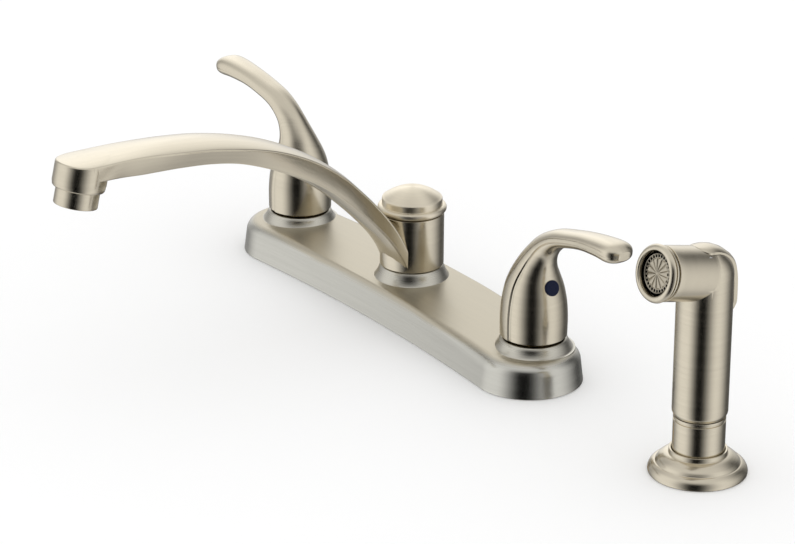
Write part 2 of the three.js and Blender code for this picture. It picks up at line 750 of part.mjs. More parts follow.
function setScrew() {
  const tip = -(BUTTON_REACH - STEM_RADIUS) / Math.cos(BUTTON_TILT) + 1;
  const top = BUTTON_PROUD - BUTTON_THICKNESS - FIT;
  return bar(vec(0, 0, tip), vec(0, 0, top), SET_SCREW_RADIUS, 12);
}

// The fixed and moving pieces of one valve. The cold valve keeps the frame's axes, and the hot
// one is turned half round, so that its port also faces the middle.
function addValve(faucet, name, side, turn, buttonMaterial) {
  const station = new THREE.Group();
  station.position.x = side * VALVE_X;
  station.rotation.z = side > 0 ? 0 : Math.PI;
  faucet.add(station);
  const sealTop = VALVE_SEAT_Z + FIT + SEAL_THICKNESS;
  const washerTop = -DECK_GRIP;
  const nutTop = washerTop - WASHER_THICKNESS - FIT;
  const washer = tubeRing(SHANK_RADIUS + FIT, WASHER_RADIUS, washerTop - WASHER_THICKNESS, washerTop);
  const seal = tubeRing(SHANK_BORE - 1, CARTRIDGE_RADIUS, VALVE_SEAT_Z + FIT, sealTop, COARSE);
  piece(station, `valve_body_${name}`, valveBody(), brass());
  piece(station, `seat_seal_${name}`, seal, rubber());
  piece(station, `fixed_disc_${name}`, valveDisc(FIXED_DISC_Z, 0), ceramic());
  piece(station, `cartridge_${name}`, cartridge(), brass());
  piece(station, `bonnet_nut_${name}`, bonnetNut(), brass());
  piece(station, `shank_washer_${name}`, washer, steel());
  const nut = wingNut(SHANK_RADIUS, SHANK_NUT_RADIUS, nutTop, SHANK_NUT_HEIGHT);
  piece(station, `shank_nut_${name}`, nut, greyPlastic());

  const turning = new THREE.Group();
  turning.rotation.z = turn;
  station.add(turning);
  piece(turning, `moving_disc_${name}`, valveDisc(MOVING_DISC_Z, Math.PI / 2), ceramic());
  piece(turning, `stem_${name}`, stem(), brass());
  piece(turning, `handle_${name}`, handle(), nickel());
  const place = buttonPlace();
  turning.add(place);
  piece(place, `index_button_${name}`, indexButton(), buttonMaterial);
  piece(place, `set_screw_${name}`, setScrew(), steel());
}

function crossover(side) {
  const outer = VALVE_X - CARTRIDGE_RADIUS - 1;
  const inner = POST_BASE_RADIUS - 2;
  const tube = tubeRing(CROSSOVER_RADIUS - CROSSOVER_WALL, CROSSOVER_RADIUS, inner, outer, COARSE);
  return tube.rotateY((side * Math.PI) / 2).translate(0, 0, CROSSOVER_HEIGHT);
}

// ---------------------------------------------------------------- post, spout and cap

function centreBody() {
  const flangeZ = BASE_THICKNESS + FIT;
  const groove = (middle) => [
    [POST_RADIUS, middle - POST_SEAL_HEIGHT / 2],
    [POST_RADIUS - POST_SEAL_DEPTH, middle - POST_SEAL_HEIGHT / 2],
    [POST_RADIUS - POST_SEAL_DEPTH, middle + POST_SEAL_HEIGHT / 2],
    [POST_RADIUS, middle + POST_SEAL_HEIGHT / 2],
  ];
  const post = turnedRing([
    [SPRAY_OUTLET_BORE, -SPRAY_OUTLET_LENGTH],
    [SPRAY_OUTLET_RADIUS, -SPRAY_OUTLET_LENGTH],
    [SPRAY_OUTLET_RADIUS, flangeZ],
    [POST_BASE_RADIUS, flangeZ],
    [POST_BASE_RADIUS, PLATE_HEIGHT - PLATE_WALL],
    [POST_NECK_RADIUS, PLATE_HEIGHT - PLATE_WALL],
    [POST_NECK_RADIUS, POST_SHOULDER_Z],
    [POST_RADIUS, POST_SHOULDER_Z],
    ...groove(LOWER_SEAL_Z),
    ...groove(UPPER_SEAL_Z),
    [POST_RADIUS, SLEEVE_TOP - FIT],
    [POST_THREAD_RADIUS, SLEEVE_TOP - FIT],
    [POST_THREAD_RADIUS, POST_TOP],
    [POST_BORE, POST_TOP],
    [POST_BORE, POPPET_Z - DIVERTER_SPRING_LENGTH - FIT],
    [SPRAY_OUTLET_BORE, POPPET_Z - DIVERTER_SPRING_LENGTH - FIT],
  ]);
  const inlets = bar(
    vec(-POST_BASE_RADIUS - 1, 0, CROSSOVER_HEIGHT),
    vec(POST_BASE_RADIUS + 1, 0, CROSSOVER_HEIGHT),
    CROSSOVER_RADIUS + FIT,
  );
  const window = bar(
    vec(0, -POST_RADIUS - 1, POST_WINDOW_Z),
    vec(0, POST_RADIUS + 1, POST_WINDOW_Z),
    POST_WINDOW_RADIUS,
    12,
  );
  return cut(post, inlets, window);
}

function sealRing(middle) {
  const tube = (POST_SEAL_DEPTH - FIT) / 2;
  const shape = new THREE.TorusGeometry(POST_RADIUS - POST_SEAL_DEPTH + FIT + tube, tube, 6, COARSE);
  return shape.translate(0, 0, middle);
}

// [Y, Z, side height, floor bulge, floor half width] of the arm's two upper edges, from inside
// the sleeve up and out to the nose.
const ARM = [
  [-5.6, 24, 3.4, 2.4, 11],
  [-9.9, 35.1, 4, 2.6, 10.8],
  [-15.7, 47.1, 5.4, 2.9, 10.4],
  [-22.2, 56.6, 6.4, 3.1, 10],
  [-29.6, 65.4, 7.1, 3.1, 9.6],
  [-37.2, 73.4, 7.7, 3, 9.4],
  [-47, 82.8, 8.6, 2.6, ARM_FLOOR_HALF_WIDTH],
  [-58.7, 91.6, 9.2, 2.1, ARM_FLOOR_HALF_WIDTH],
  [-72, 99.3, 9.6, 1.6, ARM_FLOOR_HALF_WIDTH],
  [-87.4, 105.8, 9.6, 1.3, ARM_FLOOR_HALF_WIDTH],
  [-104, 110.9, 9.5, 1.1, ARM_FLOOR_HALF_WIDTH],
  [-121, 114.6, 9.4, 1, ARM_FLOOR_HALF_WIDTH],
  [-139, 117, 9.3, 0.9, ARM_FLOOR_HALF_WIDTH],
  [-157, 118.1, 9.3, 0.8, ARM_FLOOR_HALF_WIDTH],
  [-175, 118.4, 9.3, 0.7, ARM_FLOOR_HALF_WIDTH],
];

function armFrame(path, k) {
  const before = path[Math.max(0, k - 1)];
  const after = path[Math.min(path.length - 1, k + 1)];
  const along = after.clone().sub(before).normalize();
  const up = along.clone().cross(vec(1, 0, 0)).normalize();
  return up.z < 0 ? up.negate() : up;
}

// The arm's section: a crowned top, sides that slant in and a rounded floor.
function armRing(edge, up, side, bulge, floorHalfWidth) {
  const points = [];
  const add = (x, rise) => points.push(edge.clone().add(vec(x, 0, 0)).addScaledVector(up, rise));
  const crown = [-1, -0.72, -0.36, 0, 0.36, 0.72, 1];
  crown.forEach((t) => add(t * ARM_HALF_WIDTH, ARM_CROWN * (1 - t * t)));
  const floor = [1, 0.62, 0.22, -0.22, -0.62, -1];
  floor.forEach((t) => add(t * floorHalfWidth, -side - bulge * (1 - t * t)));
  return points;
}

function armSolid() {
  const path = ARM.map(([y, z]) => vec(0, y, z));
  const rings = ARM.map(([, , side, bulge, half], k) =>
    armRing(path[k], armFrame(path, k), side, bulge, half),
  );
  const last = path[path.length - 1];
  const end = vec(0, NOSE_Y, last.z);
  rings.push(armRing(end, vec(0, 0, 1), 9.3, 0.7, ARM_FLOOR_HALF_WIDTH));
  return loft(rings);
}

// The nose runs up to the same crowned top that the arm has.
function noseSolid(barrel) {
  const last = ARM[ARM.length - 1];
  const under = (y) => armRing(vec(0, y, last[1]), vec(0, 0, 1), 30, 0, ARM_HALF_WIDTH + 2);
  const wider = (ring) => ring.map((p) => vec(p.x * 1.15, p.y, p.z));
  const below = loft([wider(under(last[0])), wider(under(NOSE_Y - 2 * NOSE_RADIUS))]);
  return overlapOf(barrel, below);
}

function nosePlace() {
  const place = new THREE.Group();
  place.position.set(0, NOSE_Y, NOSE_Z);
  place.rotation.x = -NOSE_LEAN;
  place.updateMatrix();
  return place;
}

function spout() {
  const place = nosePlace();
  const barrel = bar(vec(0, 0, 0), vec(0, 0, 20), NOSE_RADIUS, FINE).applyMatrix4(place.matrix);
  const sleeve = bar(vec(0, 0, SLEEVE_BOTTOM), vec(0, 0, SLEEVE_TOP), SLEEVE_RADIUS, FINE);
  const belowSleeve = block(vec(-30, -40, -10), vec(30, 30, SLEEVE_BOTTOM));
  const path = ARM.map(([y, z]) => vec(0, y, z));
  const channelPoints = path
    .map((p, k) => p.clone().addScaledVector(armFrame(path, k), -ARM_CHANNEL_DEPTH))
    .slice(2);
  channelPoints.unshift(vec(0, -SLEEVE_BORE + 2, POST_WINDOW_Z - 2));
  channelPoints.push(vec(0, NOSE_Y + 1, path[path.length - 1].z - ARM_CHANNEL_DEPTH));
  const channel = pipe(new THREE.CatmullRomCurve3(channelPoints), ARM_CHANNEL_RADIUS, 16, 6);
  const thread = bar(vec(0, 0, -1), vec(0, 0, NOSE_THREAD_DEPTH), NOSE_THREAD_RADIUS, MEDIUM);
  const outlet = bar(vec(0, 0, 0), vec(0, 0, NOSE_THREAD_DEPTH + 2), ARM_CHANNEL_RADIUS, 12);
  const bore = bar(vec(0, 0, 0), vec(0, 0, SLEEVE_TOP + 1), SLEEVE_BORE, MEDIUM);
  const glideSeat = bar(vec(0, 0, 0), vec(0, 0, POST_SHOULDER_Z), SLEEVE_RADIUS - 1.4, MEDIUM);
  return cut(
    join(armSolid(), noseSolid(barrel), sleeve),
    belowSleeve,
    channel,
    thread.applyMatrix4(place.matrix),
    outlet.applyMatrix4(place.matrix),
    bore,
    glideSeat,
  );
}

function spoutCap() {
  const ceiling = CAP_Z + CAP_HEIGHT - 2.6;
  return turned(
    [
      [0, ceiling],
      [CAP_BORE, ceiling - 2.4],
      [CAP_BORE, CAP_Z],
      [SLEEVE_RADIUS - 0.8, CAP_Z],
      [SLEEVE_RADIUS - 0.8, CAP_Z + 0.6],
      [CAP_BEAD_RADIUS - 0.6, CAP_Z + 0.9],
      [CAP_BEAD_RADIUS, CAP_Z + 1.9],
      [CAP_BEAD_RADIUS, CAP_Z + 3.6],
      [CAP_BEAD_RADIUS - 0.6, CAP_Z + 4.7],
      [CAP_NECK_RADIUS, CAP_Z + CAP_BEAD_HEIGHT],
      [CAP_NECK_RADIUS, CAP_Z + CAP_NECK_HEIGHT],
      [CAP_NECK_RADIUS - 1, CAP_Z + CAP_NECK_HEIGHT + 0.9],
      [CAP_NECK_RADIUS * 0.7, CAP_Z + CAP_HEIGHT - 1.3],
      [CAP_NECK_RADIUS * 0.35, CAP_Z + CAP_HEIGHT - 0.3],
      [0, CAP_Z + CAP_HEIGHT],
    ],
    FINE,
  );
}

function poppet() {
  return turned(
    [
      [0, POPPET_Z],
      [POPPET_RADIUS, POPPET_Z],
      [POPPET_RADIUS, POPPET_Z + POPPET_HEIGHT],
      [POPPET_STEM_RADIUS, POPPET_Z + POPPET_HEIGHT],
      [POPPET_STEM_RADIUS, POPPET_Z + POPPET_HEIGHT + POPPET_STEM],
      [0, POPPET_Z + POPPET_HEIGHT + POPPET_STEM],
    ],
    COARSE,
  );
}

function aeratorHousing() {
  return turnedRing([
    [AERATOR_BORE, -AERATOR_DROP],
    [AERATOR_RADIUS - 0.9, -AERATOR_DROP],
    [AERATOR_RADIUS, -AERATOR_DROP + 0.9],
    [AERATOR_RADIUS, -FIT],
    [NOSE_THREAD_RADIUS - FIT, -FIT],
    [NOSE_THREAD_RADIUS - FIT, NOSE_THREAD_DEPTH - AERATOR_WASHER - 2 * FIT],
    [AERATOR_BORE, NOSE_THREAD_DEPTH - AERATOR_WASHER - 2 * FIT],
    [AERATOR_BORE, -AERATOR_DROP + 1.6 + AERATOR_SCREEN],
    [AERATOR_BORE - 0.8, -AERATOR_DROP + 1.6 + AERATOR_SCREEN],
    [AERATOR_BORE - 0.8, -AERATOR_DROP + 1.6 + AERATOR_SCREEN + 0.8],
    [AERATOR_BORE - 1.6, -AERATOR_DROP + 1.6 + AERATOR_SCREEN + 0.8],
    [AERATOR_BORE - 1.6, -AERATOR_DROP + 1.6 + AERATOR_SCREEN - 0.4],
    [AERATOR_BORE, -AERATOR_DROP + 1.6 + AERATOR_SCREEN - 0.4],
  ]);
}

// Points round a circle, evenly spaced.
function roundPoints(x, y, radius, sides, turn = 0) {
  return Array.from({ length: sides }, (_, i) => {
    const angle = turn + (2 * Math.PI * i) / sides;
    return new THREE.Vector2(x + radius * Math.cos(angle), y + radius * Math.sin(angle));
  });
}

// A disc on Z with a ring of small four-sided holes and one in the middle.
function holedDisc(radius, bottom, top, circle, holes, holeRadius) {
  const height = top - bottom;
  const disc = pushed(roundPoints(0, 0, radius, MEDIUM), height);
  const places = [new THREE.Vector2(0, 0), ...roundPoints(0, 0, circle, holes)];
  const drills = places.map((place) => {
    const corners = roundPoints(place.x, place.y, holeRadius, 4, place.angle());
    return pushed(corners, height + 2).translate(0, 0, -1);
  });
  return cut(disc, ...drills).translate(0, 0, bottom);
}

function addSpout(faucet) {
  piece(faucet, "centre_body", centreBody(), brass());
  piece(faucet, "post_seal_lower", sealRing(LOWER_SEAL_Z), rubber());
  piece(faucet, "post_seal_upper", sealRing(UPPER_SEAL_Z), rubber());
  const glide = tubeRing(POST_NECK_RADIUS + FIT, SLEEVE_RADIUS - 1.7, GLIDE_Z, GLIDE_Z + GLIDE_THICKNESS);
  piece(faucet, "glide_ring", glide, whitePlastic());
  const nut = tubeRing(POST_THREAD_RADIUS + FIT, SPOUT_NUT_RADIUS, SLEEVE_TOP + FIT, POST_TOP);
  piece(faucet, "spout_nut", nut, brass());
  piece(faucet, "diverter_poppet", poppet(), whitePlastic());
  const coil = spring(
    DIVERTER_COIL_RADIUS,
    DIVERTER_WIRE,
    POPPET_Z - DIVERTER_SPRING_LENGTH,
    POPPET_Z - FIT,
    4,
  );
  piece(faucet, "diverter_spring", coil, steel());
  piece(faucet, "spout", spout(), nickel());
  piece(faucet, "spout_cap", spoutCap(), nickel());
  const place = nosePlace();
  faucet.add(place);
  const washerTop = NOSE_THREAD_DEPTH - FIT;
  const washer = tubeRing(AERATOR_BORE - 1, NOSE_THREAD_RADIUS - FIT, washerTop - AERATOR_WASHER, washerTop);
  const screenZ = -AERATOR_DROP + 0.9;
  const screenTop = screenZ + AERATOR_SCREEN;
  piece(place, "aerator_washer", washer, rubber());
  piece(place, "aerator_housing", aeratorHousing(), nickel());
  const screen = holedDisc(AERATOR_BORE - FIT, screenZ, screenTop, 4.6, 8, 1);
  piece(place, "aerator_screen", screen, greyPlastic());
}

// ---------------------------------------------------------------- side spray

function sprayHolder() {
  const ring = HOLDER_COLLAR_RADIUS;
  const bore = COLLAR_RADIUS + FIT;
  return turnedRing(
    [
      [bore, -HOLDER_SHANK_LENGTH],
      [HOLDER_SHANK_RADIUS, -HOLDER_SHANK_LENGTH],
      [HOLDER_SHANK_RADIUS, 0],
      [HOLDER_RADIUS, 0],
      [HOLDER_RADIUS, 1.3],
      [HOLDER_RADIUS - 0.7, 2.6],
      [HOLDER_RADIUS - 2, 3.4],
      [HOLDER_RADIUS - 2.4, 4.4],
      [HOLDER_RADIUS - 3.6, 6.2],
      [HOLDER_RADIUS - 5.6, 8],
      [HOLDER_RADIUS - 8, 9.6],
      [ring, HOLDER_HEIGHT - 2.2],
      [ring, HOLDER_HEIGHT - 0.5],
      [ring - 0.4, HOLDER_HEIGHT],
      [bore, HOLDER_HEIGHT],
    ],
    FINE,
  );
}

function sprayCollar() {
  return turnedRing([
    [COLLAR_BORE, COLLAR_BOTTOM - 19],
    [TAIL_RADIUS, COLLAR_BOTTOM - 19],
    [TAIL_RADIUS, COLLAR_BOTTOM],
    [COLLAR_RADIUS, COLLAR_BOTTOM],
    [COLLAR_RADIUS, COLLAR_TOP - 1.9],
    [COLLAR_RADIUS - 0.5, COLLAR_TOP - 1.6],
    [COLLAR_RADIUS - 0.5, COLLAR_TOP - 1.2],
    [COLLAR_RADIUS, COLLAR_TOP - 0.9],
    [COLLAR_RADIUS, COLLAR_TOP],
    [SPIGOT_RADIUS + FIT, COLLAR_TOP],
    [SPIGOT_RADIUS + FIT, COLLAR_TOP - 4],
    [COLLAR_BORE, COLLAR_TOP - 4],
  ]);
}

function hoseCoupling() {
  const shoulder = COLLAR_TOP - 4 - FIT;
  return turnedRing(
    [
      [COUPLING_BORE, -COUPLING_DROP],
      [COLLAR_BORE - FIT, -COUPLING_DROP],
      [COLLAR_BORE - FIT, shoulder],
      [SPIGOT_RADIUS, shoulder],
      [SPIGOT_RADIUS, SPIGOT_TOP],
      [COUPLING_BORE, SPIGOT_TOP],
    ],
    COARSE,
  );
}

// The middle of the trigger from its front end over the back and down: [Y, Z, thickness, room
// below it, share of the full width].
const TRIGGER = [
  [-7, 111.9, 2, 0.3, 0.3],
  [-5.6, 111.7, 2.2, 0.3, 0.75],
  [-3, 111.3, 2.6, 0.4, 1],
  [0, 110.8, 3, 0.8, 1],
  [3.2, 110.1, 3, 1.1, 1],
  [6.3, 108.8, 3, 1.5, 1],
  [9, 107, 3, 1.9, 1],
  [11.4, 104.9, 2.8, 2.2, 1],
  [13.3, 102, 2.6, 2.5, 1],
  [14.6, 98.4, 2.5, 2.8, 1],
  [15.3, 93.8, 2.4, 3.2, 1],
  [15.5, 87.5, 2.4, 3.6, 1],
  [15.4, 82, 2.3, 3.9, 0.96],
  [14.3, 78.5, 1.7, 4, 0.84],
  [13, 76.1, 1, 4, 0.6],
];

// The trigger's crowned strip, with its inner side lowered and its rim widened by a clearance.
function triggerStrip(clearance, raised) {
  const middle = TRIGGER.map(([y, z]) => vec(0, y, z));
  const rings = TRIGGER.map(([, , thickness, room, share], k) => {
    const before = middle[Math.max(0, k - 1)];
    const after = middle[Math.min(middle.length - 1, k + 1)];
    const along = after.clone().sub(before).normalize();
    const out = vec(1, 0, 0).cross(along).normalize();
    const depth = thickness + (clearance > 0 ? room : 0);
    const half = TRIGGER_HALF_WIDTH * share + clearance;
    const row = (rise, steps) =>
      steps.map((t) => {
        const x = t * half;
        const drop = TRIGGER_CROWN - Math.sqrt(TRIGGER_CROWN ** 2 - x * x);
        return middle[k].clone().add(vec(x, 0, 0)).addScaledVector(out, rise - drop);
      });
    return [...row(raised, [-1, -0.5, 0, 0.5, 1]), ...row(-depth, [1, 0, -1])];
  });
  if (clearance > 0) {
    const slide = (ring, from, to) => {
      const step = to.clone().sub(from).setLength(clearance);
      return ring.map((p) => p.clone().add(step));
    };
    rings.unshift(slide(rings[0], middle[1], middle[0]));
    rings.push(slide(rings[rings.length - 1], middle[middle.length - 2], middle[middle.length - 1]));
  }
  return loft(rings);
}

function triggerLug(clearance) {
  const half = TRIGGER_LUG_HALF_WIDTH + clearance;
  const radius = TRIGGER_LUG_RADIUS + clearance;
  const low = vec(-half, TRIGGER_PIN_Y - radius, TRIGGER_PIN_Z);
  const high = vec(half, TRIGGER_PIN_Y + radius, TRIGGER_PIN_Z + 3);
  return join(pinBar(half, radius, MEDIUM), block(low, high));
}

// A solid of the trigger, turned about its pin by a share of the travel.
function pressed(geometry, share) {
  return geometry
    .translate(0, -TRIGGER_PIN_Y, -TRIGGER_PIN_Z)
    .rotateX(-TRIGGER_TRAVEL * share)
    .translate(0, TRIGGER_PIN_Y, TRIGGER_PIN_Z);
}

function pinBar(halfLength, radius, facets) {
  const at = (x) => vec(x, TRIGGER_PIN_Y, TRIGGER_PIN_Z);
  return bar(at(-halfLength), at(halfLength), radius, facets);
}

function headFrame() {
  const place = new THREE.Group();
  place.position.set(0, 0, HEAD_Z);
  place.quaternion.setFromUnitVectors(vec(0, 0, 1), HEAD_OUT);
  place.updateMatrix();
  return place;
}

function wandBody() {
  const bottom = COLLAR_TOP + FIT;
  const grip = turned(
    [
      [0, bottom],
      [COLLAR_RADIUS, bottom],
      [WAND_RADIUS, bottom + WAND_CHAMFER],
      [WAND_RADIUS, HEAD_Z],
      [0, HEAD_Z],
    ],
    FINE,
  );
  const crown = new THREE.SphereGeometry(WAND_RADIUS, 24, 12).rotateX(Math.PI / 2).translate(0, 0, HEAD_Z);
  const head = headFrame();
  const barrel = bar(vec(0, 0, 0), vec(0, 0, HEAD_LENGTH), HEAD_RADIUS, FINE).applyMatrix4(head.matrix);
  const headBore = bar(vec(0, 0, HEAD_LENGTH - HEAD_BORE_DEPTH), vec(0, 0, HEAD_LENGTH + 1), HEAD_BORE);
  const hose = bar(vec(0, 0, 0), vec(0, 0, WAND_VALVE_FLOOR + 1), SPIGOT_RADIUS + FIT);
  const chamber = bar(vec(0, 0, WAND_VALVE_FLOOR), vec(0, 0, WAND_VALVE_TOP), WAND_VALVE_BORE);
  const link = bar(
    vec(0, -3, WAND_VALVE_TOP - 4),
    HEAD_OUT.clone().multiplyScalar(HEAD_LENGTH - HEAD_BORE_DEPTH + 2).add(vec(0, 0, HEAD_Z)),
    3,
    12,
  );
  const guide = bar(
    vec(0, VALVE_STEM_OFFSET, WAND_VALVE_TOP - 1),
    vec(0, VALVE_STEM_OFFSET, VALVE_STEM_TOP + 2),
    VALVE_STEM_RADIUS + FIT,
    16,
  );
  const sealSeat = bar(
    vec(0, VALVE_STEM_OFFSET, WAND_VALVE_TOP - 1),
    vec(0, VALVE_STEM_OFFSET, WAND_VALVE_TOP + 2.4),
    VALVE_STEM_RADIUS + 2.1,
    16,
  );
  return cut(
    join(grip, crown, barrel),
    headBore.applyMatrix4(head.matrix),
    hose,
    chamber,
    link,
    guide,
    sealSeat,
    triggerStrip(FIT, 6),
    ...TRIGGER_STEPS.map((share) => pressed(triggerStrip(TRIGGER_SWEEP_ROOM, 0), share)),
    triggerLug(FIT),
    ...TRIGGER_STEPS.map((share) => pressed(triggerLug(TRIGGER_SWEEP_ROOM), share)),
    pinBar(TRIGGER_PIN_HALF_LENGTH + FIT, TRIGGER_PIN_RADIUS + FIT, COARSE),
  );
}

function trigger() {
  const pinHole = pinBar(WAND_RADIUS, TRIGGER_PIN_RADIUS + FIT, COARSE);
  return cut(join(triggerStrip(0, 0), triggerLug(0)), pinHole);
}

function bezel() {
  const back = HEAD_LENGTH + FIT;
  const front = back + BEZEL_LENGTH;
  return turnedRing(
    [
      [BEZEL_BORE - FACE_LEDGE_WIDTH, back],
      [BEZEL_RADIUS, back],
      [BEZEL_RADIUS, front - 1],
      [BEZEL_RADIUS - 0.8, front],
      [BEZEL_RADIUS - 1.4, front],
      [BEZEL_BORE, front - FACE_RECESS],
      [BEZEL_BORE, back + FACE_LEDGE],
      [BEZEL_BORE - FACE_LEDGE_WIDTH, back + FACE_LEDGE],
    ],
    FINE,
  );
}

function valvePlunger() {
  const poppetTop = WAND_VALVE_TOP - 3 - VALVE_SEAT_THICKNESS;
  return turned(
    [
      [0, poppetTop - VALVE_POPPET_HEIGHT],
      [VALVE_POPPET_RADIUS, poppetTop - VALVE_POPPET_HEIGHT],
      [VALVE_POPPET_RADIUS, poppetTop],
      [VALVE_STEM_RADIUS, poppetTop],
      [VALVE_STEM_RADIUS, VALVE_STEM_TOP],
      [0, VALVE_STEM_TOP],
    ],
    16,
  ).translate(0, VALVE_STEM_OFFSET, 0);
}

function addSpray(root) {
  const station = new THREE.Group();
  station.position.set(SPRAY_X, -SPRAY_FORWARD, 0);
  root.add(station);
  piece(station, "spray_holder", sprayHolder(), nickel());
  const bush = tubeRing(TAIL_RADIUS + FIT, COLLAR_RADIUS, BUSH_TOP - BUSH_LENGTH, BUSH_TOP);
  piece(station, "holder_bush", bush, whitePlastic());
  const washerTop = -DECK_GRIP;
  const washer = tubeRing(
    HOLDER_SHANK_RADIUS + FIT,
    WASHER_RADIUS,
    washerTop - WASHER_THICKNESS,
    washerTop,
  );
  piece(station, "holder_washer", washer, rubber());
  const nutTop = washerTop - WASHER_THICKNESS - FIT;
  const nut = wingNut(HOLDER_SHANK_RADIUS, HOLDER_NUT_RADIUS, nutTop, SHANK_NUT_HEIGHT);
  piece(station, "holder_nut", nut, greyPlastic());
  piece(station, "spray_collar", sprayCollar(), nickel());
  piece(station, "hose_coupling", hoseCoupling(), brass());
  piece(station, "wand_body", wandBody(), nickel());
  piece(station, "spray_trigger", trigger(), nickel());
  piece(station, "trigger_pin", pinBar(TRIGGER_PIN_HALF_LENGTH, TRIGGER_PIN_RADIUS, COARSE), steel());
  piece(station, "valve_plunger", valvePlunger(), brass());
  const stemSeal = new THREE.TorusGeometry(VALVE_STEM_RADIUS + FIT + 0.7, 0.7, 6, 16);
  piece(station, "plunger_seal", stemSeal.translate(0, VALVE_STEM_OFFSET, WAND_VALVE_TOP + 1.2), rubber());
  const seatZ = WAND_VALVE_TOP - 3 - VALVE_SEAT_THICKNESS + FIT;
  const seat = cut(
    bar(vec(0, 0, seatZ), vec(0, 0, seatZ + VALVE_SEAT_THICKNESS), WAND_VALVE_BORE - FIT),
    bar(
      vec(0, VALVE_STEM_OFFSET, seatZ - 1),
      vec(0, VALVE_STEM_OFFSET, seatZ + VALVE_SEAT_THICKNESS + 1),
      VALVE_STEM_RADIUS + 0.8,
      16,
    ),
  );
  piece(station, "valve_seat", seat, rubber());
  const coilTop = WAND_VALVE_TOP - 3 - VALVE_SEAT_THICKNESS - VALVE_POPPET_HEIGHT - FIT;
  const coil = spring(VALVE_COIL_RADIUS, VALVE_WIRE, WAND_VALVE_FLOOR + FIT, coilTop, 5);
  piece(station, "valve_spring", coil.translate(0, VALVE_STEM_OFFSET, 0), steel());

  const head = headFrame();
  station.add(head);
  piece(head, "spray_bezel", bezel(), nickel());
  const face = holedDisc(
    BEZEL_BORE - FIT,
    HEAD_LENGTH + FIT + FACE_LEDGE + FIT,
    HEAD_LENGTH + FIT + BEZEL_LENGTH - FACE_RECESS,
    FACE_HOLE_CIRCLE,
    FACE_HOLES,
    FACE_HOLE_RADIUS,
  );
  piece(head, "spray_face", face, greyPlastic());
}

// ---------------------------------------------------------------- assembly

const faucet = new THREE.Group();
piece(faucet, "deck_plate", deckPlate(), nickel());
piece(faucet, "base_plate", basePlate(), greyPlastic());
addValve(faucet, "cold", 1, COLD_TURN, bluePlastic());
addValve(faucet, "hot", -1, HOT_TURN, redPlastic());
piece(faucet, "crossover_cold", crossover(1), copper());
piece(faucet, "crossover_hot", crossover(-1), copper());
addSpout(faucet);
addSpray(faucet);

export default faucet;
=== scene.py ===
"""Looks of a two-handle kitchen faucet on a long deck plate, with its side spray.

Lengths in the tables are millimetres in the frame's axes: +X along the deck plate to the cold
handle, -Y to the user, +Z up, with the origin on the sink's surface under the spout's axis.
"""

import json
import math
from contextlib import contextmanager

import bmesh
import bpy
from mathutils import Matrix, Vector


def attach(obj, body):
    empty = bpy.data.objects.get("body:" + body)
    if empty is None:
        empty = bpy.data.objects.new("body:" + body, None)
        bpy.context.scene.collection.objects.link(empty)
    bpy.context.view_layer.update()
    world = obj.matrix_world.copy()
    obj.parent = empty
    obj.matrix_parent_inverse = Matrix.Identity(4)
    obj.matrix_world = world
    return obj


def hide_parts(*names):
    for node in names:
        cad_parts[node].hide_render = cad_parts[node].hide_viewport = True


bl_info = {
    "name": "Side spray kitchen faucet",
    "version": (1, 0, 0),
    "blender": (4, 5, 0),
    "location": "View3D > Sidebar > Faucet",
    "description": "Builds the faucet's visible pieces, finishes and studio round the packed frame",
    "category": "Add Mesh",
}

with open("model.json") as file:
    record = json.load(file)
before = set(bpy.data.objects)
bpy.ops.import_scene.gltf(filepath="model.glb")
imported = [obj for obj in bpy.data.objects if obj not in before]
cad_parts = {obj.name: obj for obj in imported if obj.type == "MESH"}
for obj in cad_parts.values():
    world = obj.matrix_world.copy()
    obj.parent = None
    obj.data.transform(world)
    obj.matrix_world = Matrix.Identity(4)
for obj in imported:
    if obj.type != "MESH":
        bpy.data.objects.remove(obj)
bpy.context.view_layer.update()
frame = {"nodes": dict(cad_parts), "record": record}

MM = 0.001
METRES = Matrix.Scale(MM, 4)

# ---------------------------------------------------------------- shared sizes, in millimetres

VALVE_X = 101.6
SPRAY = Vector((227.3, -1, 0))
HUB_Z = 22.6
SLEEVE_BOTTOM, SLEEVE_TOP = 25.3, 52.6
SLEEVE_RADIUS, SLEEVE_BORE = 16, 12.2
CAP_Z = 52.9
NOSE_RADIUS = 12.8
NOSE_SKIRT = 1.7
NOSE_PLACE = Matrix.Translation((0, -189.1, 107.1)) @ Matrix.Rotation(math.radians(-13), 4, "X")
COLD_TURN, HOT_TURN = math.radians(1), math.radians(4)
COLLAR_BOTTOM, COLLAR_TOP = 6.2, 28.1
WAND_RADIUS = 12.8
HEAD_Z = 96.6
HEAD_TILT = math.radians(12.8)
HEAD_LENGTH, HEAD_RADIUS = 25.6, 12.6
FIT = 0.3

# How finely turned pieces are divided, and how slowly the brushing changes along a stroke
AROUND_FINE, AROUND, AROUND_COARSE, AROUND_NOSE, AROUND_SMALL = 192, 160, 128, 96, 64
STROKE = 0.03

# ---------------------------------------------------------------- curves and outlines

CORNER_REACH = 0.45
SLIGHT_TURN = 0.12
NO_LENGTH = 1e-6


def blend(a, b, t):
    return a + (b - a) * t


def ease(low, high, x):
    """0 below low, 1 above high and a smooth rise between them."""
    t = min(1.0, max(0.0, (x - low) / (high - low)))
    return t * t * (3 - 2 * t)


def turns(count):
    """The angles of a whole turn in equal steps."""
    return [2 * math.pi * i / count for i in range(count)]


def middle_of(points):
    return sum((Vector(p) for p in points), Vector()) / len(points)


def spline(t, a, b, c, d):
    """The value at t between b and c, on a smooth curve that also runs through a and d."""
    bend = (2 * a - 5 * b + 4 * c - d) * t * t
    return 0.5 * (2 * b + (c - a) * t + bend + (3 * b - a - 3 * c + d) * t**3)


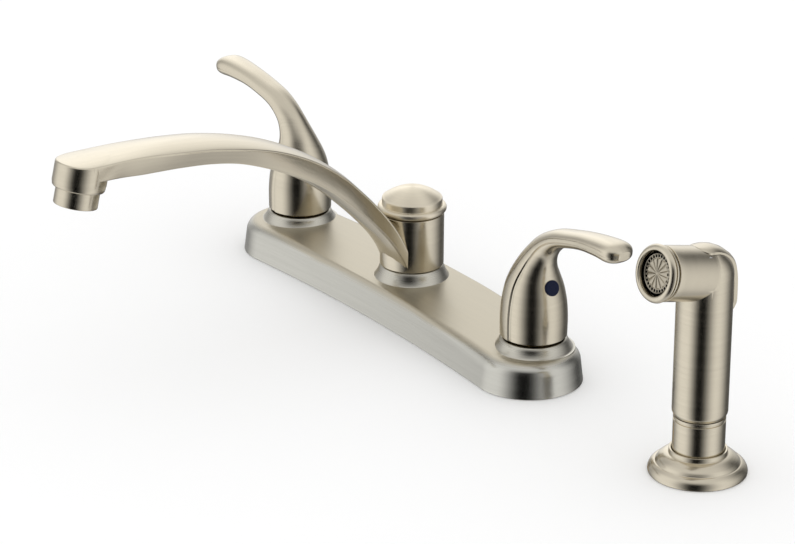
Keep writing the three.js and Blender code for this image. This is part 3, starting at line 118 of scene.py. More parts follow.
def curve(rows, steps):
    """Rows of numbers joined by a smooth curve through all of them, with steps between two."""
    made, last = [], len(rows) - 1
    for k in range(last):
        four = rows[max(0, k - 1)], rows[k], rows[k + 1], rows[min(last, k + 2)]
        for i in range(steps):
            made.append([spline(i / steps, *values) for values in zip(*four)])
    return [*made, list(rows[-1])]


def rounded(before, point, after, radius, steps):
    """The points round a corner, on less than half of each side that meets there."""
    into, out = point - before, after - point
    back = radius * math.tan(into.angle(out) / 2)
    back = min(back, into.length * CORNER_REACH, out.length * CORNER_REACH)
    a, b = point - into.normalized() * back, point + out.normalized() * back
    shares = [i / steps for i in range(steps + 1)]
    return [a * (1 - t) ** 2 + point * 2 * t * (1 - t) + b * t * t for t in shares]


def softened(points, radius, closed=False, steps=4, longest=4.0):
    """A polyline with its corners rounded, and its long sides split."""
    points = [Vector(p) for p in points]
    made = []
    for k, point in enumerate(points):
        before, after = points[k - 1], points[(k + 1) % len(points)]
        into, out = point - before, after - point
        plain = not closed and k in (0, len(points) - 1)
        if plain or min(into.length, out.length) < NO_LENGTH or into.angle(out) < SLIGHT_TURN:
            made.append(point)
        else:
            made += rounded(before, point, after, radius, steps)
    whole = []
    for k, point in enumerate(made):
        whole.append(point)
        if closed or k < len(made) - 1:
            following = made[(k + 1) % len(made)]
            pieces = int((following - point).length // longest)
            whole += [point.lerp(following, (i + 1) / (pieces + 1)) for i in range(pieces)]
    return whole


def stations(path):
    """Each point of a path, with the direction there and the way from the start."""
    run = 0.0
    for k, here in enumerate(path):
        before, after = path[max(0, k - 1)], path[min(len(path) - 1, k + 1)]
        run += (here - before).length
        yield here, (after - before).normalized(), run


# ---------------------------------------------------------------- skins


@contextmanager
def edited(mesh):
    """The mesh as a bmesh, which is written back at the end."""
    shape = bmesh.new()
    shape.from_mesh(mesh)
    yield shape
    shape.to_mesh(mesh)
    shape.free()


class Skin:
    """Closed skins that grow into one mesh. Each point also carries its place in the brushing:
    the first two numbers change slowly along a stroke, and the third across the strokes."""

    def __init__(self):
        self.points, self.grain, self.faces = [], [], []

    def grid(self, rings, grains, place=Matrix.Identity(4)):
        """A skin over rings of points. A ring of one point is a pole."""
        starts = []
        for ring, grain in zip(rings, grains):
            starts.append(len(self.points))
            self.points += [place @ Vector(p) for p in ring]
            self.grain += [Vector(g) for g in grain]
        for k in range(len(rings) - 1):
            here, there = len(rings[k]), len(rings[k + 1])
            count = max(here, there)
            for i in range(count):
                j = (i + 1) % count
                low = [starts[k] + i % here, starts[k] + j % here]
                high = [starts[k + 1] + j % there, starts[k + 1] + i % there]
                face = list(dict.fromkeys(low + high))
                if len(face) > 2:
                    self.faces.append(face)
        return self

    def turned(self, profile, place=Matrix.Identity(4), around=AROUND):
        """A piece turned about Z from (radius, height) points."""
        profile = [(max(0.0, radius), height) for radius, height in profile]
        runs = [run for _, _, run in stations([Vector(point) for point in profile])]
        rings, grains = [], []
        for (radius, height), run in zip(profile, runs):
            angles = turns(around) if radius > NO_LENGTH else [0.0]
            rings.append([(radius * math.cos(t), radius * math.sin(t), height) for t in angles])
            grains.append([(x * STROKE, y * STROKE, run) for x, y, _ in rings[-1]])
        return self.grid(rings, grains, place)

    def capped(self, rings, grains):
        """Rings with each end closed on its middle."""
        closed = [[[middle_of(r[0])], *r, [middle_of(r[-1])]] for r in (rings, grains)]
        return self.grid(*closed)

    def finished(self, name, crease=30, **marks):
        """The mesh object, in metres. A mark is a function of a point that shaders read by name."""
        mesh = bpy.data.meshes.new(name)
        mesh.from_pydata([p * MM for p in self.points], [], self.faces)
        for mark, share in marks.items():
            values = mesh.attributes.new(mark, "FLOAT", "POINT")
            values.data.foreach_set("value", [float(share(p)) for p in self.points])
        grain = mesh.attributes.new("grain", "FLOAT_VECTOR", "POINT")
        grain.data.foreach_set("vector", [x for g in self.grain for x in g])
        with edited(mesh) as shape:
            bmesh.ops.recalc_face_normals(shape, faces=shape.faces)
        obj = bpy.data.objects.new(name, mesh)
        bpy.context.scene.collection.objects.link(obj)
        smoothed(obj, crease)
        return obj


def smoothed(obj, crease):
    """Shade a piece smoothly, with edges sharper than the crease, in degrees, left as they are."""
    obj.data.shade_smooth()
    obj.data.set_sharp_from_angle(angle=math.radians(crease))


def combined(obj, tools, operation, crease=30):
    """Cut an object by other mesh objects, or join them to it. The others are used up."""
    for tool in tools:
        step = obj.modifiers.new("step", "BOOLEAN")
        step.operation, step.solver, step.object = operation, "EXACT", tool
    graph = bpy.context.evaluated_depsgraph_get()
    mesh = bpy.data.meshes.new_from_object(obj.evaluated_get(graph))
    obj.modifiers.clear()
    old, obj.data = obj.data, mesh
    mesh.name = obj.name
    for used in (old, *(tool.data for tool in tools)):
        bpy.data.meshes.remove(used)
    smoothed(obj, crease)


def merged(obj, others):
    """Take other mesh objects into one, without changing their skins."""
    with edited(obj.data) as whole:
        for part in others:
            whole.from_mesh(part.data)
    for part in others:
        bpy.data.meshes.remove(part.data)


def rod(radius, low, high, place=Matrix.Identity(4)):
    """A plain cylinder to cut with."""
    profile = [(0, low), (radius, low), (radius, high), (0, high)]
    return Skin().turned(profile, place, AROUND_SMALL).finished("cutter")


# ---------------------------------------------------------------- deck plate

PLATE_END, PLATE_WAIST, PLATE_FORWARD = 26.6, 21.8, 3.0
PLATE_HEIGHT, PLATE_CROWN = 16.3, 2.3
PLATE_SIDE_LEAN, PLATE_END_LEAN = 0.085, 0.12
# (inset, height, share of the crown) under the plate, from its ceiling to its foot
PLATE_UNDER = [(18, 13.7, 1), (9.5, 13.7, 1), (5.6, 10, 0.8), (2.6, 0.4, 0.1), (2.3, 0, 0)]
PLATE_FOOT = 1.2
# (radius, flare, height of the top, height of the foot, bore)
VALVE_BOSS = (16.3, 2.6, 21.4, 16.5, 11.9)
SPOUT_BOSS = (15.9, 2.9, 24.8, 18.6, 11.6)
# How coarse the brushing on the bosses is, with the darker tone of painted shade that goes with it,
# and where their tops are painted near black under the handles' hubs, a painted shade
BOSS_COARSE_AND_SHADED, BOSS_SHADE_Z, BOSS_SHADE_RADIUS = 0.35, 21.3, 15.3


def plate_side(middle):
    """Points and outward directions round one long side, from the cold end's tip to the hot end's.
    The side lies at the given distance from the centre line at its middle."""
    meet = math.atan(2 * (PLATE_END - middle) / VALVE_X)
    meet_x = VALVE_X - PLATE_END * math.sin(meet)
    bow = (PLATE_END * math.cos(meet) - middle) / meet_x**2
    arc, side = 36, 72
    near, long = [], []
    for i in range(arc):
        t = (i + 0.5) / arc * (math.pi / 2 + meet)
        out = Vector((math.cos(t), math.sin(t), 0))
        near.append((Vector((VALVE_X, 0, 0)) + out * PLATE_END, out))
    for i in range(side + 1):
        x = meet_x * (1 - 2 * i / side)
        out = Vector((-2 * bow * x, 1, 0)).normalized()
        long.append((Vector((x, middle + bow * x * x, 0)), out))
    flip = Vector((-1, 1, 1))
    return near + long + [(p * flip, o * flip) for p, o in reversed(near)]


def plate_outline():
    """The plate's outline at the sink, straight at the back and waisted at the front."""
    flip = Vector((1, -1, 1))
    front = [(p * flip, o * flip) for p, o in reversed(plate_side(PLATE_WAIST))]
    return plate_side(PLATE_END) + front


def plate_section(corner, lean):
    """(inset, height, share of the crown) from the ceiling inside round the rim to the top."""
    bend = PLATE_HEIGHT - corner + corner * math.sin(lean)
    centre = math.tan(lean) * bend + corner * math.cos(lean)
    rows = [*PLATE_UNDER, (0.4, 0, 0), (0.03, 0.25, 0)]
    rows.append((0.03 + math.tan(lean) * 0.8, PLATE_FOOT, 0.06))
    for i in range(1, 9):
        z = blend(PLATE_FOOT, bend, i / 8)
        rows.append((math.tan(lean) * z + 0.03, z, i / 8))
    for i in range(1, 13):
        t = blend(lean, math.pi / 2, i / 12)
        rows.append((centre - corner * math.cos(t), PLATE_HEIGHT - corner * (1 - math.sin(t)), 1))
    for i in range(1, 8):
        inset = blend(centre, PLATE_WAIST - 0.6, i / 7)
        rows.append((inset, PLATE_HEIGHT + 0.3 * i / 7, 1))
    return rows


def plate_skin(corner, shoulder):
    """The hollow plate without its bosses. Its sides are crisp and its ends soft."""
    sections = plate_section(corner, PLATE_SIDE_LEAN), plate_section(shoulder, PLATE_END_LEAN)
    outline = plate_outline()
    rings, grains = [], []
    for side, end in zip(*sections):
        ring, strokes = [], []
        for point, out in outline:
            share = ease(24, VALVE_X, abs(point.x))
            inset, z, lift = (blend(u, v, share) for u, v in zip(side, end))
            crown = PLATE_CROWN * lift * (1 - min(1, abs(point.x) / VALVE_X) ** 2)
            ring.append(point - out * inset + Vector((0, -PLATE_FORWARD, z + crown)))
            x, y, _ = ring[-1]
            on_top = ease(PLATE_HEIGHT - 3, PLATE_HEIGHT, z)
            strokes.append((x * STROKE, y * STROKE * (1 - on_top), blend(z, y, on_top)))
        rings.append(ring)
        grains.append(strokes)
    skin = Skin().grid(rings, grains)
    count = len(outline)
    for start in (0, len(skin.points) - count):
        for i in range(count // 2 - 1):
            far = start + count - 1 - i
            skin.faces.append([start + i, start + i + 1, far - 1, far])
    return skin


def boss_profile(radius, flare, top, foot, bore, corner):
    """A boss whose side sweeps out into the plate."""
    rise = top - foot
    skirt = (radius + flare + 1.2, foot - 0.25)
    neck = (radius + flare * 0.14, foot + rise * 0.76)
    sweep = [(radius + flare, foot + 0.05), (radius + flare * 0.5, foot + rise * 0.36)]
    crown = softened([neck, (radius - 0.5, top), (bore, top)], corner, steps=6)
    side = curve([skirt, *sweep, neck], 6)
    return [(bore, foot - 2), (skirt[0], foot - 2), *side, *crown[1:], (bore, foot - 2)]


# ---------------------------------------------------------------- spout

ARM_TOP = 118.4
ARM_HALF_WIDTH = 12
ARM_CROWN = 1.47
# How much wider the middle of the arm is on each side, and how far its side edges drop there
ARM_SWELL, ARM_DROP = 2, 1.3
# (Y, Z, side height, floor bulge, floor half width) along the arm's upper edges
ARM = [
    (-5.6, 24.6, 3.6, 2.4, 11.9),
    (-9.9, 35.8, 4.2, 2.6, 11.8),
    (-15.7, 47.2, 5.4, 2.9, 11.3),
    (-22.2, 56.6, 6.4, 3.1, 10.6),
    (-29.6, 65.4, 7.1, 3.1, 9.9),
    (-37.2, 73.4, 7.7, 3, 9.4),
    (-47, 82.8, 8.6, 2.6, 9.2),
    (-58.7, 91.6, 9.2, 2.1, 9.2),
    (-72, 99.3, 9.6, 1.6, 9.2),
    (-87.4, 106.2, 9.6, 1.3, 9.2),
    (-104, 111.5, 9, 1.1, 9.2),
    (-121, 115.25, 9.4, 1, 9.2),
    (-138, 117.35, 9.9, 0.9, 9.2),
    (-150, 118.1, 10, 0.8, 9.25),
    (-160, 118.35, 9.7, 0.7, 9.5),
    (-170, 118.4, 8.7, 0.6, 10.2),
    (-179, 118.4, 7.7, 0.5, 11.8),
    (-188, 118.4, 7.4, 0.5, 12.76),
]


def arm_section(half, drop, side, bulge, floor, edge):
    """(X, rise) points of the arm's section, with rounded corners."""
    top = [(t, (ARM_CROWN + drop) * (1 - t * t) - drop) for t in (-0.8, -0.5, -0.2, 0.2, 0.5, 0.8)]
    under = [(t, -side - 0.5 - (bulge - 0.5) * (1 - t * t)) for t in (0.6, 0.2, -0.2, -0.6)]
    loop = [
        ((-half, -drop), edge),
        *(((half * t, rise), 0) for t, rise in top),
        ((half, -drop), edge),
        ((floor, -side), edge * 0.5),
        ((floor - 0.7, -side - 0.05), 0),
        ((floor - 0.9, -side - 0.55), 0),
        *(((floor * t, rise), 0) for t, rise in under),
        ((0.9 - floor, -side - 0.55), 0),
        ((0.7 - floor, -side - 0.05), 0),
        ((-floor, -side), edge * 0.5),
    ]
    loop = [(Vector(point), radius) for point, radius in loop]
    made = []
    for k, (point, radius) in enumerate(loop):
        before, after = loop[k - 1][0], loop[(k + 1) % len(loop)][0]
        made += rounded(before, point, after, radius, 5) if radius else [point]
    return made


def arm_skin(edge):
    """The arm from inside the sleeve to inside the nose."""
    rows = curve(ARM, 8)
    rings, grains = [], []
    path = [Vector((0, y, z)) for y, z, *_ in rows]
    for (y, _, side, bulge, floor), (here, along, run) in zip(rows, stations(path)):
        up = Vector((0, along.z, -along.y))
        middle = ease(64, 118, -y) * (1 - ease(136, 172, -y))
        half = blend(ARM_HALF_WIDTH, NOSE_RADIUS - 0.02, ease(150, 173, -y)) + ARM_SWELL * middle
        section = arm_section(half, ARM_DROP * middle, side, bulge, floor, edge)
        rings.append([here + Vector((x, 0, 0)) + up * rise for x, rise in section])
        grains.append([(run * STROKE, 0, x + rise) for x, rise in section])
    return Skin().capped(rings, grains)


def nose_skin(edge):
    """The leaning barrel under the arm's end, closed by the arm's crowned top."""
    axis = NOSE_PLACE.to_3x3() @ Vector((0, 0, 1))

    def way_up(foot):
        """How far it is along the axis to the crowned top, found in a few steps."""
        rise = (ARM_TOP - foot.z) / axis.z
        for _ in range(4):
            x = foot.x + axis.x * rise
            top = ARM_TOP + ARM_CROWN * (1 - (x / NOSE_RADIUS) ** 2)
            rise = (top - foot.z) / axis.z
        return rise

    def ring(radius, share, drop):
        feet = [(radius * math.cos(t), radius * math.sin(t)) for t in turns(AROUND_NOSE)]
        feet = [NOSE_PLACE @ Vector((*foot, -NOSE_SKIRT)) for foot in feet]
        return [foot + axis * (way_up(foot) - drop) * share for foot in feet]

    # (radius, share of the way up, drop below the top)
    rows = [(9.9, 0.35, 0), (9.9, 0, 0), (NOSE_RADIUS - 0.7, 0, 0), (NOSE_RADIUS - 0.33, 0.035, 0)]
    rows.append((NOSE_RADIUS - 0.2, 0.1, 0))
    rows += [(NOSE_RADIUS, share, edge) for share in (0.2, 0.4, 0.6, 0.8, 0.95)]
    for i in range(1, 9):
        t = math.pi / 2 * i / 8
        rows.append((NOSE_RADIUS - edge * (1 - math.cos(t)), 1, edge * (1 - math.sin(t))))
    rows += [(NOSE_RADIUS - edge - 2 * i, 1, 0) for i in range(1, 5)]
    rings, grains = [ring(*row) for row in rows], []
    for made, (_, share, _) in zip(rings, rows):
        grains.append([(x * STROKE, y * STROKE, z if share < 0.98 else x) for x, y, z in made])
    return Skin().capped(rings, grains)


# ---------------------------------------------------------------- handles

# (reach, rise over the lip, half width, half thickness, crease) along the middle of a handle
HORN = [
    (0, 0, 16.35, 16.35, 0),
    (0, 9.4, 16.45, 16.45, 0),
    (0, 16.4, 16, 16, 0),
    (0, 21.4, 15.2, 15.2, 0),
    (0.2, 26.4, 14.05, 14.05, 0),
    (0.85, 31.4, 12.2, 12.3, 0.02),
    (2.15, 36.4, 10, 10.3, 0.05),
    (4.4, 41.4, 8.4, 8.4, 0.1),
    (7.8, 46.5, 7.4, 6.9, 0.15),
    (12.4, 50.9, 7.1, 5.6, 0.2),
    (19, 54.8, 7, 4.7, 0.2),
    (28, 57.6, 7.1, 4.2, 0.2),
    (39, 60, 7.3, 4.2, 0.2),
    (51, 61.3, 8, 4.6, 0.15),
    (59.5, 61.5, 8.3, 4.8, 0.1),
    (63.5, 61.4, 6.6, 3.8, 0.05),
    (65.6, 61.3, 3.6, 2.1, 0),
]
HORN_STEPS = 6
# (radius, height) of the hollow in the hub, from its ceiling down
HUB_HOLLOW = [(0, 54.4), (4.3, 54.3), (4.3, 36), (14.5, 32), (14.5, HUB_Z)]
BUTTON_TURN = Matrix.Rotation(math.pi / 2 - math.radians(18), 4, "Y")
BUTTON_PLACE = Matrix.Translation((13.6, 0, HUB_Z + 27.9)) @ BUTTON_TURN
# Angles round a section, close together at the step between the belly and the ribbon
BELLY = [0.01, 0.035, 0.065, 0.1, 0.14, 0.18]
BELLY += [blend(0.22, math.pi / 2, i / 20) for i in range(21)]
BELLY += [math.pi - t for t in reversed(BELLY[:-1])]
RIBBON = [math.pi + (i + 0.5) * math.pi / 44 for i in range(44)]


def horn_ring(here, along, width, thick, crease, power, step):
    """The points of one section, and their (across, out) from its middle: an outer ribbon, a
    little proud, over an inner belly."""
    out = Vector((0, 1, 0)).cross(along).normalized()
    made, strokes = [], []
    for angle in BELLY + RIBBON:
        c, s = math.cos(angle), math.sin(angle)
        v = math.copysign(abs(c) ** (2 / power), c) * width
        u = math.copysign(abs(s) ** (2 / power), s)
        u = blend(u, u * abs(u), crease)
        inward = step * (ease(0.005, 0.07, s) - 0.55 * ease(0.08, 0.2, s))
        scale = 1 - inward / max(width, thick)
        made.append(here + Vector((0, v * scale, 0)) + out * (u * thick * scale))
        strokes.append((v, u * thick))
    return made, strokes


def handle_skin(looks):
    """A hub with its lever, hollow from below."""
    rows = curve(HORN, HORN_STEPS)
    path = [Vector((reach, 0, HUB_Z + rise)) for reach, rise, *_ in rows]
    rings, grains = [], []
    for k, ((_, rise, width, thick, crease), station) in enumerate(zip(rows, stations(path))):
        here, along, run = station
        row = k / HORN_STEPS
        along = Vector((0, 0, 1)) if rise < 12 else along
        power = 2 + 0.5 * min(1, max(0, (row - 8) / 3))
        step = looks.ribbon_step / MM * (1 - ease(12, 15.5, row))
        crease *= looks.lever_crease
        made, strokes = horn_ring(here, along, width, thick, crease, power, step)
        if k == 0:
            for radius, height in HUB_HOLLOW:
                share = radius / width
                ring = [Vector((share * u, share * v, height)) for v, u in strokes]
                rings.append(ring if radius else ring[:1])
                grains.append([(0, 0, 0)] * len(rings[-1]))
            rings.append([here + (p - here) * (1 - 0.5 / width) for p in made])
            grains.append([(v * STROKE, u * STROKE, 0) for v, u in strokes])
            made = [p + Vector((0, 0, 0.4)) for p in made]
        rings.append(made)
        # the strokes run round the hub and along the lever
        lever = ease(26, 50, rise)
        slow, fast = run * STROKE * lever, run * (1 - lever)
        grains.append([(v * STROKE, u * STROKE + slow, fast + v * lever) for v, u in strokes])
    tip = rings[-1]
    nib = middle_of(tip) + Vector((0.08, 0, -0.1))
    for share in (0.35, 0.7, 0.9):
        rings.append([p.lerp(nib, share) for p in tip])
        grains.append(grains[-1])
    return Skin().grid([*rings, [nib]], [*grains, grains[-1][:1]])


def both_handles():
    """Each handle's name and place: the cold one keeps the axes, the hot one is turned round."""
    for name, x, turn in (("cold", VALVE_X, COLD_TURN), ("hot", -VALVE_X, math.pi + HOT_TURN)):
        yield name, Matrix.Translation((x, 0, 0)) @ Matrix.Rotation(turn, 4, "Z")


# ---------------------------------------------------------------- spray

# (Y, Z, thickness, room, share of the width) down the middle of the trigger
TRIGGER = [
    (-7, 111.1, 2, 0.3, 0.3),
    (-5.6, 111.1, 2.2, 0.3, 0.75),
    (-3, 111, 2.6, 0.4, 1),
    (0, 110.8, 3, 0.8, 1),
    (3.2, 110.1, 3, 1.1, 1),
    (6.3, 108.8, 3, 1.5, 1),
    (9, 107, 3, 1.9, 1),
    (11.4, 104.9, 2.8, 2.2, 1),
    (13.3, 102, 2.6, 2.5, 1),
    (14.6, 98.4, 2.5, 2.8, 1),
    (15.3, 93.8, 2.4, 3.2, 1),
    (15.5, 87.5, 2.4, 3.6, 1),
    (15.4, 82, 2.3, 3.9, 0.96),
    (14.3, 78.5, 1.7, 4, 0.84),
    (13, 76.1, 1, 4, 0.6),
]
TRIGGER_HALF_WIDTH, TRIGGER_CROWN, TRIGGER_EDGE = 6.5, 14, 0.35
# How far the trigger's pocket stands out of the wand, and where its lower end begins
POCKET_RAISE, POCKET_END_Z, POCKET_END_ROOM = 6, 84, 2.2

HEAD_OUT = Vector((0, -math.cos(HEAD_TILT), math.sin(HEAD_TILT)))
HEAD_TURN = Vector((0, 0, 1)).rotation_difference(HEAD_OUT).to_matrix().to_4x4()
HEAD_PLACE = Matrix.Translation(SPRAY + Vector((0, 0, HEAD_Z))) @ HEAD_TURN


def trigger_skin(clearance, raised, edge):
    """The trigger's crowned strip, or the pocket round it when it is given a clearance."""
    rows = curve(TRIGGER, 5)
    rings, grains = [], []
    path = [Vector((0, y, z)) for y, z, *_ in rows]
    for (_, z, depth, room, share), (here, along, run) in zip(rows, stations(path)):
        out = Vector((1, 0, 0)).cross(along).normalized()
        if clearance:
            depth += room
            # the strip's lower end moves down as it is pressed, so the pocket is wider there
            share = share**0.3 if z < POCKET_END_Z else share
        half = TRIGGER_HALF_WIDTH * share + clearance
        over = [(t, raised - edge * ease(0.8, 1, abs(t))) for t in (-1, -0.95, -0.8, -0.5, 0)]
        over += [(-t, height) for t, height in reversed(over[:-1])]
        ring = []
        for t, height in [*over, *((t, -depth) for t in (1, 0.5, 0, -0.5, -1))]:
            x = t * half
            drop = TRIGGER_CROWN - math.sqrt(TRIGGER_CROWN**2 - x * x)
            ring.append(here + Vector((x, 0, 0)) + out * (height - drop))
        rings.append([SPRAY + p for p in ring])
        grains.append([(run * STROKE, 0, p.x) for p in ring])
    if clearance:
        start = (rings[0][4] - rings[1][4]).normalized() * clearance
        end = (rings[-1][4] - rings[-2][4]).normalized() * POCKET_END_ROOM
        rings = [[p + start for p in rings[0]], *rings, [p + end for p in rings[-1]]]
        grains = [grains[0], *grains, grains[-1]]
    return Skin().capped(rings, grains)


# ---------------------------------------------------------------- shader maths


def plug(tree, socket, value):
    """Give a socket a value, or link a wire or another socket to it."""
    value = value.socket if isinstance(value, Wire) else value
    if isinstance(value, bpy.types.NodeSocket):
        tree.links.new(value, socket)
    else:
        socket.default_value = value


def both_ways(kind):
    """A wire's operator for one kind of Math node, and its reflected form."""
    return (
        lambda wire, other: wire.maths(kind, wire, other),
        lambda wire, other: wire.maths(kind, other, wire),
    )


class Wire:
    """A socket that gives a value in a shader, with maths by operators."""

    def __init__(self, tree, socket):
        self.tree, self.socket = tree, socket

    def maths(self, kind, *values):
        node = self.tree.nodes.new("ShaderNodeMath")
        node.operation = kind
        for socket, value in zip(node.inputs, values):
            plug(self.tree, socket, value)
        return Wire(self.tree, node.outputs[0])

    __add__, __radd__ = both_ways("ADD")
    __sub__, __rsub__ = both_ways("SUBTRACT")
    __mul__, __rmul__ = both_ways("MULTIPLY")
    __truediv__, __rtruediv__ = both_ways("DIVIDE")

    def at_least(self, other):
        return self.maths("MAXIMUM", self, other)

    def at_most(self, other):
        return self.maths("MINIMUM", self, other)

    def absolute(self):
        return self.maths("ABSOLUTE", self)

    def angle_to(self, other):
        """The angle of the point (other, self) from the first axis, in radians."""
        return self.maths("ARCTAN2", self, other)

    def smooth(self, low, high):
        """0 below low, 1 above high and a smooth rise between them."""
        t = ((self - low) / (high - low)).at_least(0).at_most(1)
        return t * t * (3 - 2 * t)


class Shader:
    """A node tree that is written as calls."""

    def __init__(self, tree):
        self.tree = tree
        tree.nodes.clear()

    def node(self, kind, settings=None, sockets=None):
        """A new node: its settings first, then the values or links of its sockets."""
        node = self.tree.nodes.new("ShaderNode" + kind)
        for name, value in (settings or {}).items():
            setattr(node, name, value)
        for name, value in (sockets or {}).items():
            plug(self.tree, node.inputs[name], value)
        return node

    def wire(self, output, kind, settings=None, sockets=None):
        """One output of a new node."""
        return Wire(self.tree, self.node(kind, settings, sockets).outputs[output])

    def mark(self, name, output="Fac"):
        """What a piece's points carry under this name."""
        return self.wire(output, "Attribute", {"attribute_name": name})

    def noise(self, vector, scale, detail, roughness=0.5):
        sockets = {"Vector": vector, "Scale": scale, "Detail": detail, "Roughness": roughness}
        return self.wire(0, "TexNoise", None, sockets)

    def scaled(self, vector, size):
        sockets = {0: vector, 1: (size, size, size)}
        return self.wire(0, "VectorMath", {"operation": "MULTIPLY"}, sockets)

    def mix_colour(self, share, a, b):
        """Colour a, or b by its share. A Mix node keeps its two colours in sockets 6 and 7."""
        settings = {"data_type": "RGBA", "clamp_factor": False}
        return self.wire(2, "Mix", settings, {0: share, 6: a, 7: b})


def rgba(colour, light=1.0):
    return (*(c * light for c in colour[:3]), 1.0)


# ---------------------------------------------------------------- finishes

# Near black, painted where a piece is marked as shade: painted shade
PAINTED_SHADE = rgba((0.01, 0.01, 0.01))


def principled(name, metallic, roughness, sockets=None):
    """A new material, with its shader and its surface node."""
    material = bpy.data.materials.new(name)
    material.use_nodes = True
    shader = Shader(material.node_tree)
    sockets = {"Metallic": metallic, "Roughness": roughness, **(sockets or {})}
    surface = shader.node("BsdfPrincipled", None, sockets)
    shader.node("OutputMaterial", None, {"Surface": surface.outputs["BSDF"]})
    return material, shader, surface


def lay(shader, surface, tone, roughness, height, depth):
    """Lay a colour, a roughness and a bumped skin over a surface."""
    sockets = {"Strength": 1.0, "Distance": depth, "Height": height}
    skin = shader.wire(0, "Bump", None, sockets)
    for name, wire in (("Base Color", tone), ("Roughness", roughness), ("Normal", skin)):
        plug(shader.tree, surface.inputs[name], wire)


def brushed(name, looks, colour, rougher=1, deeper=1, sockets=None, coarse=None):
    """Satin metal with fine strokes that follow the piece's grain. The coarse (colour, roughness)
    takes over where the piece is marked as coarse: the roughness is a coarser brushing and the
    colour a darker tone of painted shade. The piece is painted near black where marked as shade, a
    painted shade."""
    roughness = looks.nickel_roughness * rougher
    material, shader, surface = principled(name, 1.0, roughness, sockets)
    strokes, size = shader.mark("grain", "Vector"), looks.grain_size / MM
    hair = shader.noise(shader.scaled(strokes, 1 / size), 1.0, 3.0, 0.6)
    drift = shader.noise(shader.scaled(strokes, 0.22 / size), 1.0, 2.0)
    streaks = drift * 0.5 + hair * 0.5
    tone = shader.mix_colour(streaks, rgba(colour, 0.86), rgba(colour, 1.12))
    rough = roughness + (hair - 0.5) * 0.1 + (drift - 0.5) * 0.08
    if coarse:
        # Where the piece is marked for its coarse top: a rougher brushing, and a darker, warmer
        # tone that is painted shade
        share = shader.mark("coarse")
        other = shader.mix_colour(streaks, rgba(coarse[0], 0.86), rgba(coarse[0], 1.12))
        tone = shader.mix_colour(share, tone, other)
        # Painted shade: near black where the piece is marked as shade
        tone = shader.mix_colour(shader.mark("shade"), tone, PAINTED_SHADE)
        rough = rough + share * (coarse[1] - roughness)
    lay(shader, surface, tone, rough, hair, looks.grain_depth * deeper)
    return material


def nickel(looks):
    """The satin nickel that most pieces share, made for the first of them."""
    name = "satin_nickel"
    return bpy.data.materials.get(name) or brushed(name, looks, looks.nickel_colour)


def cast(name, colour, metallic, roughness, scale, depth, sheen=0.5, shaded=False):
    """Plain metal, plastic, rubber or ceramic with an uneven skin."""
    sockets = {"Specular IOR Level": sheen}
    material, shader, surface = principled(name, metallic, roughness, sockets)
    place = shader.wire("Object", "TexCoord")
    cloud, speck = shader.noise(place, scale, 4.0), shader.noise(place, scale * 6, 2.0)
    tone = shader.mix_colour(cloud, rgba(colour, 0.88), rgba(colour, 1.12))
    # Painted shade: a shaded piece is painted near black where its points are marked as shade
    if shaded:
        tone = shader.mix_colour(shader.mark("shade"), tone, PAINTED_SHADE)
    rough = (roughness + (speck - 0.5) * 0.2).at_least(0.05)
    lay(shader, surface, tone, rough, speck, depth)
    return material


def coat(obj, material):
    obj.data.materials.clear()
    obj.data.materials.append(material)


def dress(obj, material, body, node):
    """Finish a piece: its material, the body it moves with and the frame node it stands for."""
    coat(obj, material)
    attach(obj, body)
    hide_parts(node)


# ---------------------------------------------------------------- settings


def a_length(name, description, default, **more):
    return bpy.props.FloatProperty(
        name=name, description=description, default=default, unit="LENGTH", **more
    )


def a_share(name, description, default, low, high):
    return bpy.props.FloatProperty(
        name=name, description=description, default=default, min=low, max=high, subtype="FACTOR"
    )


def a_count(name, description, default, low, high):
    return bpy.props.IntProperty(
        name=name, description=description, default=default, min=low, max=high
    )


def a_colour(name, description, default):
    return bpy.props.FloatVectorProperty(
        name=name, description=description, default=default, size=3, subtype="COLOR"
    )


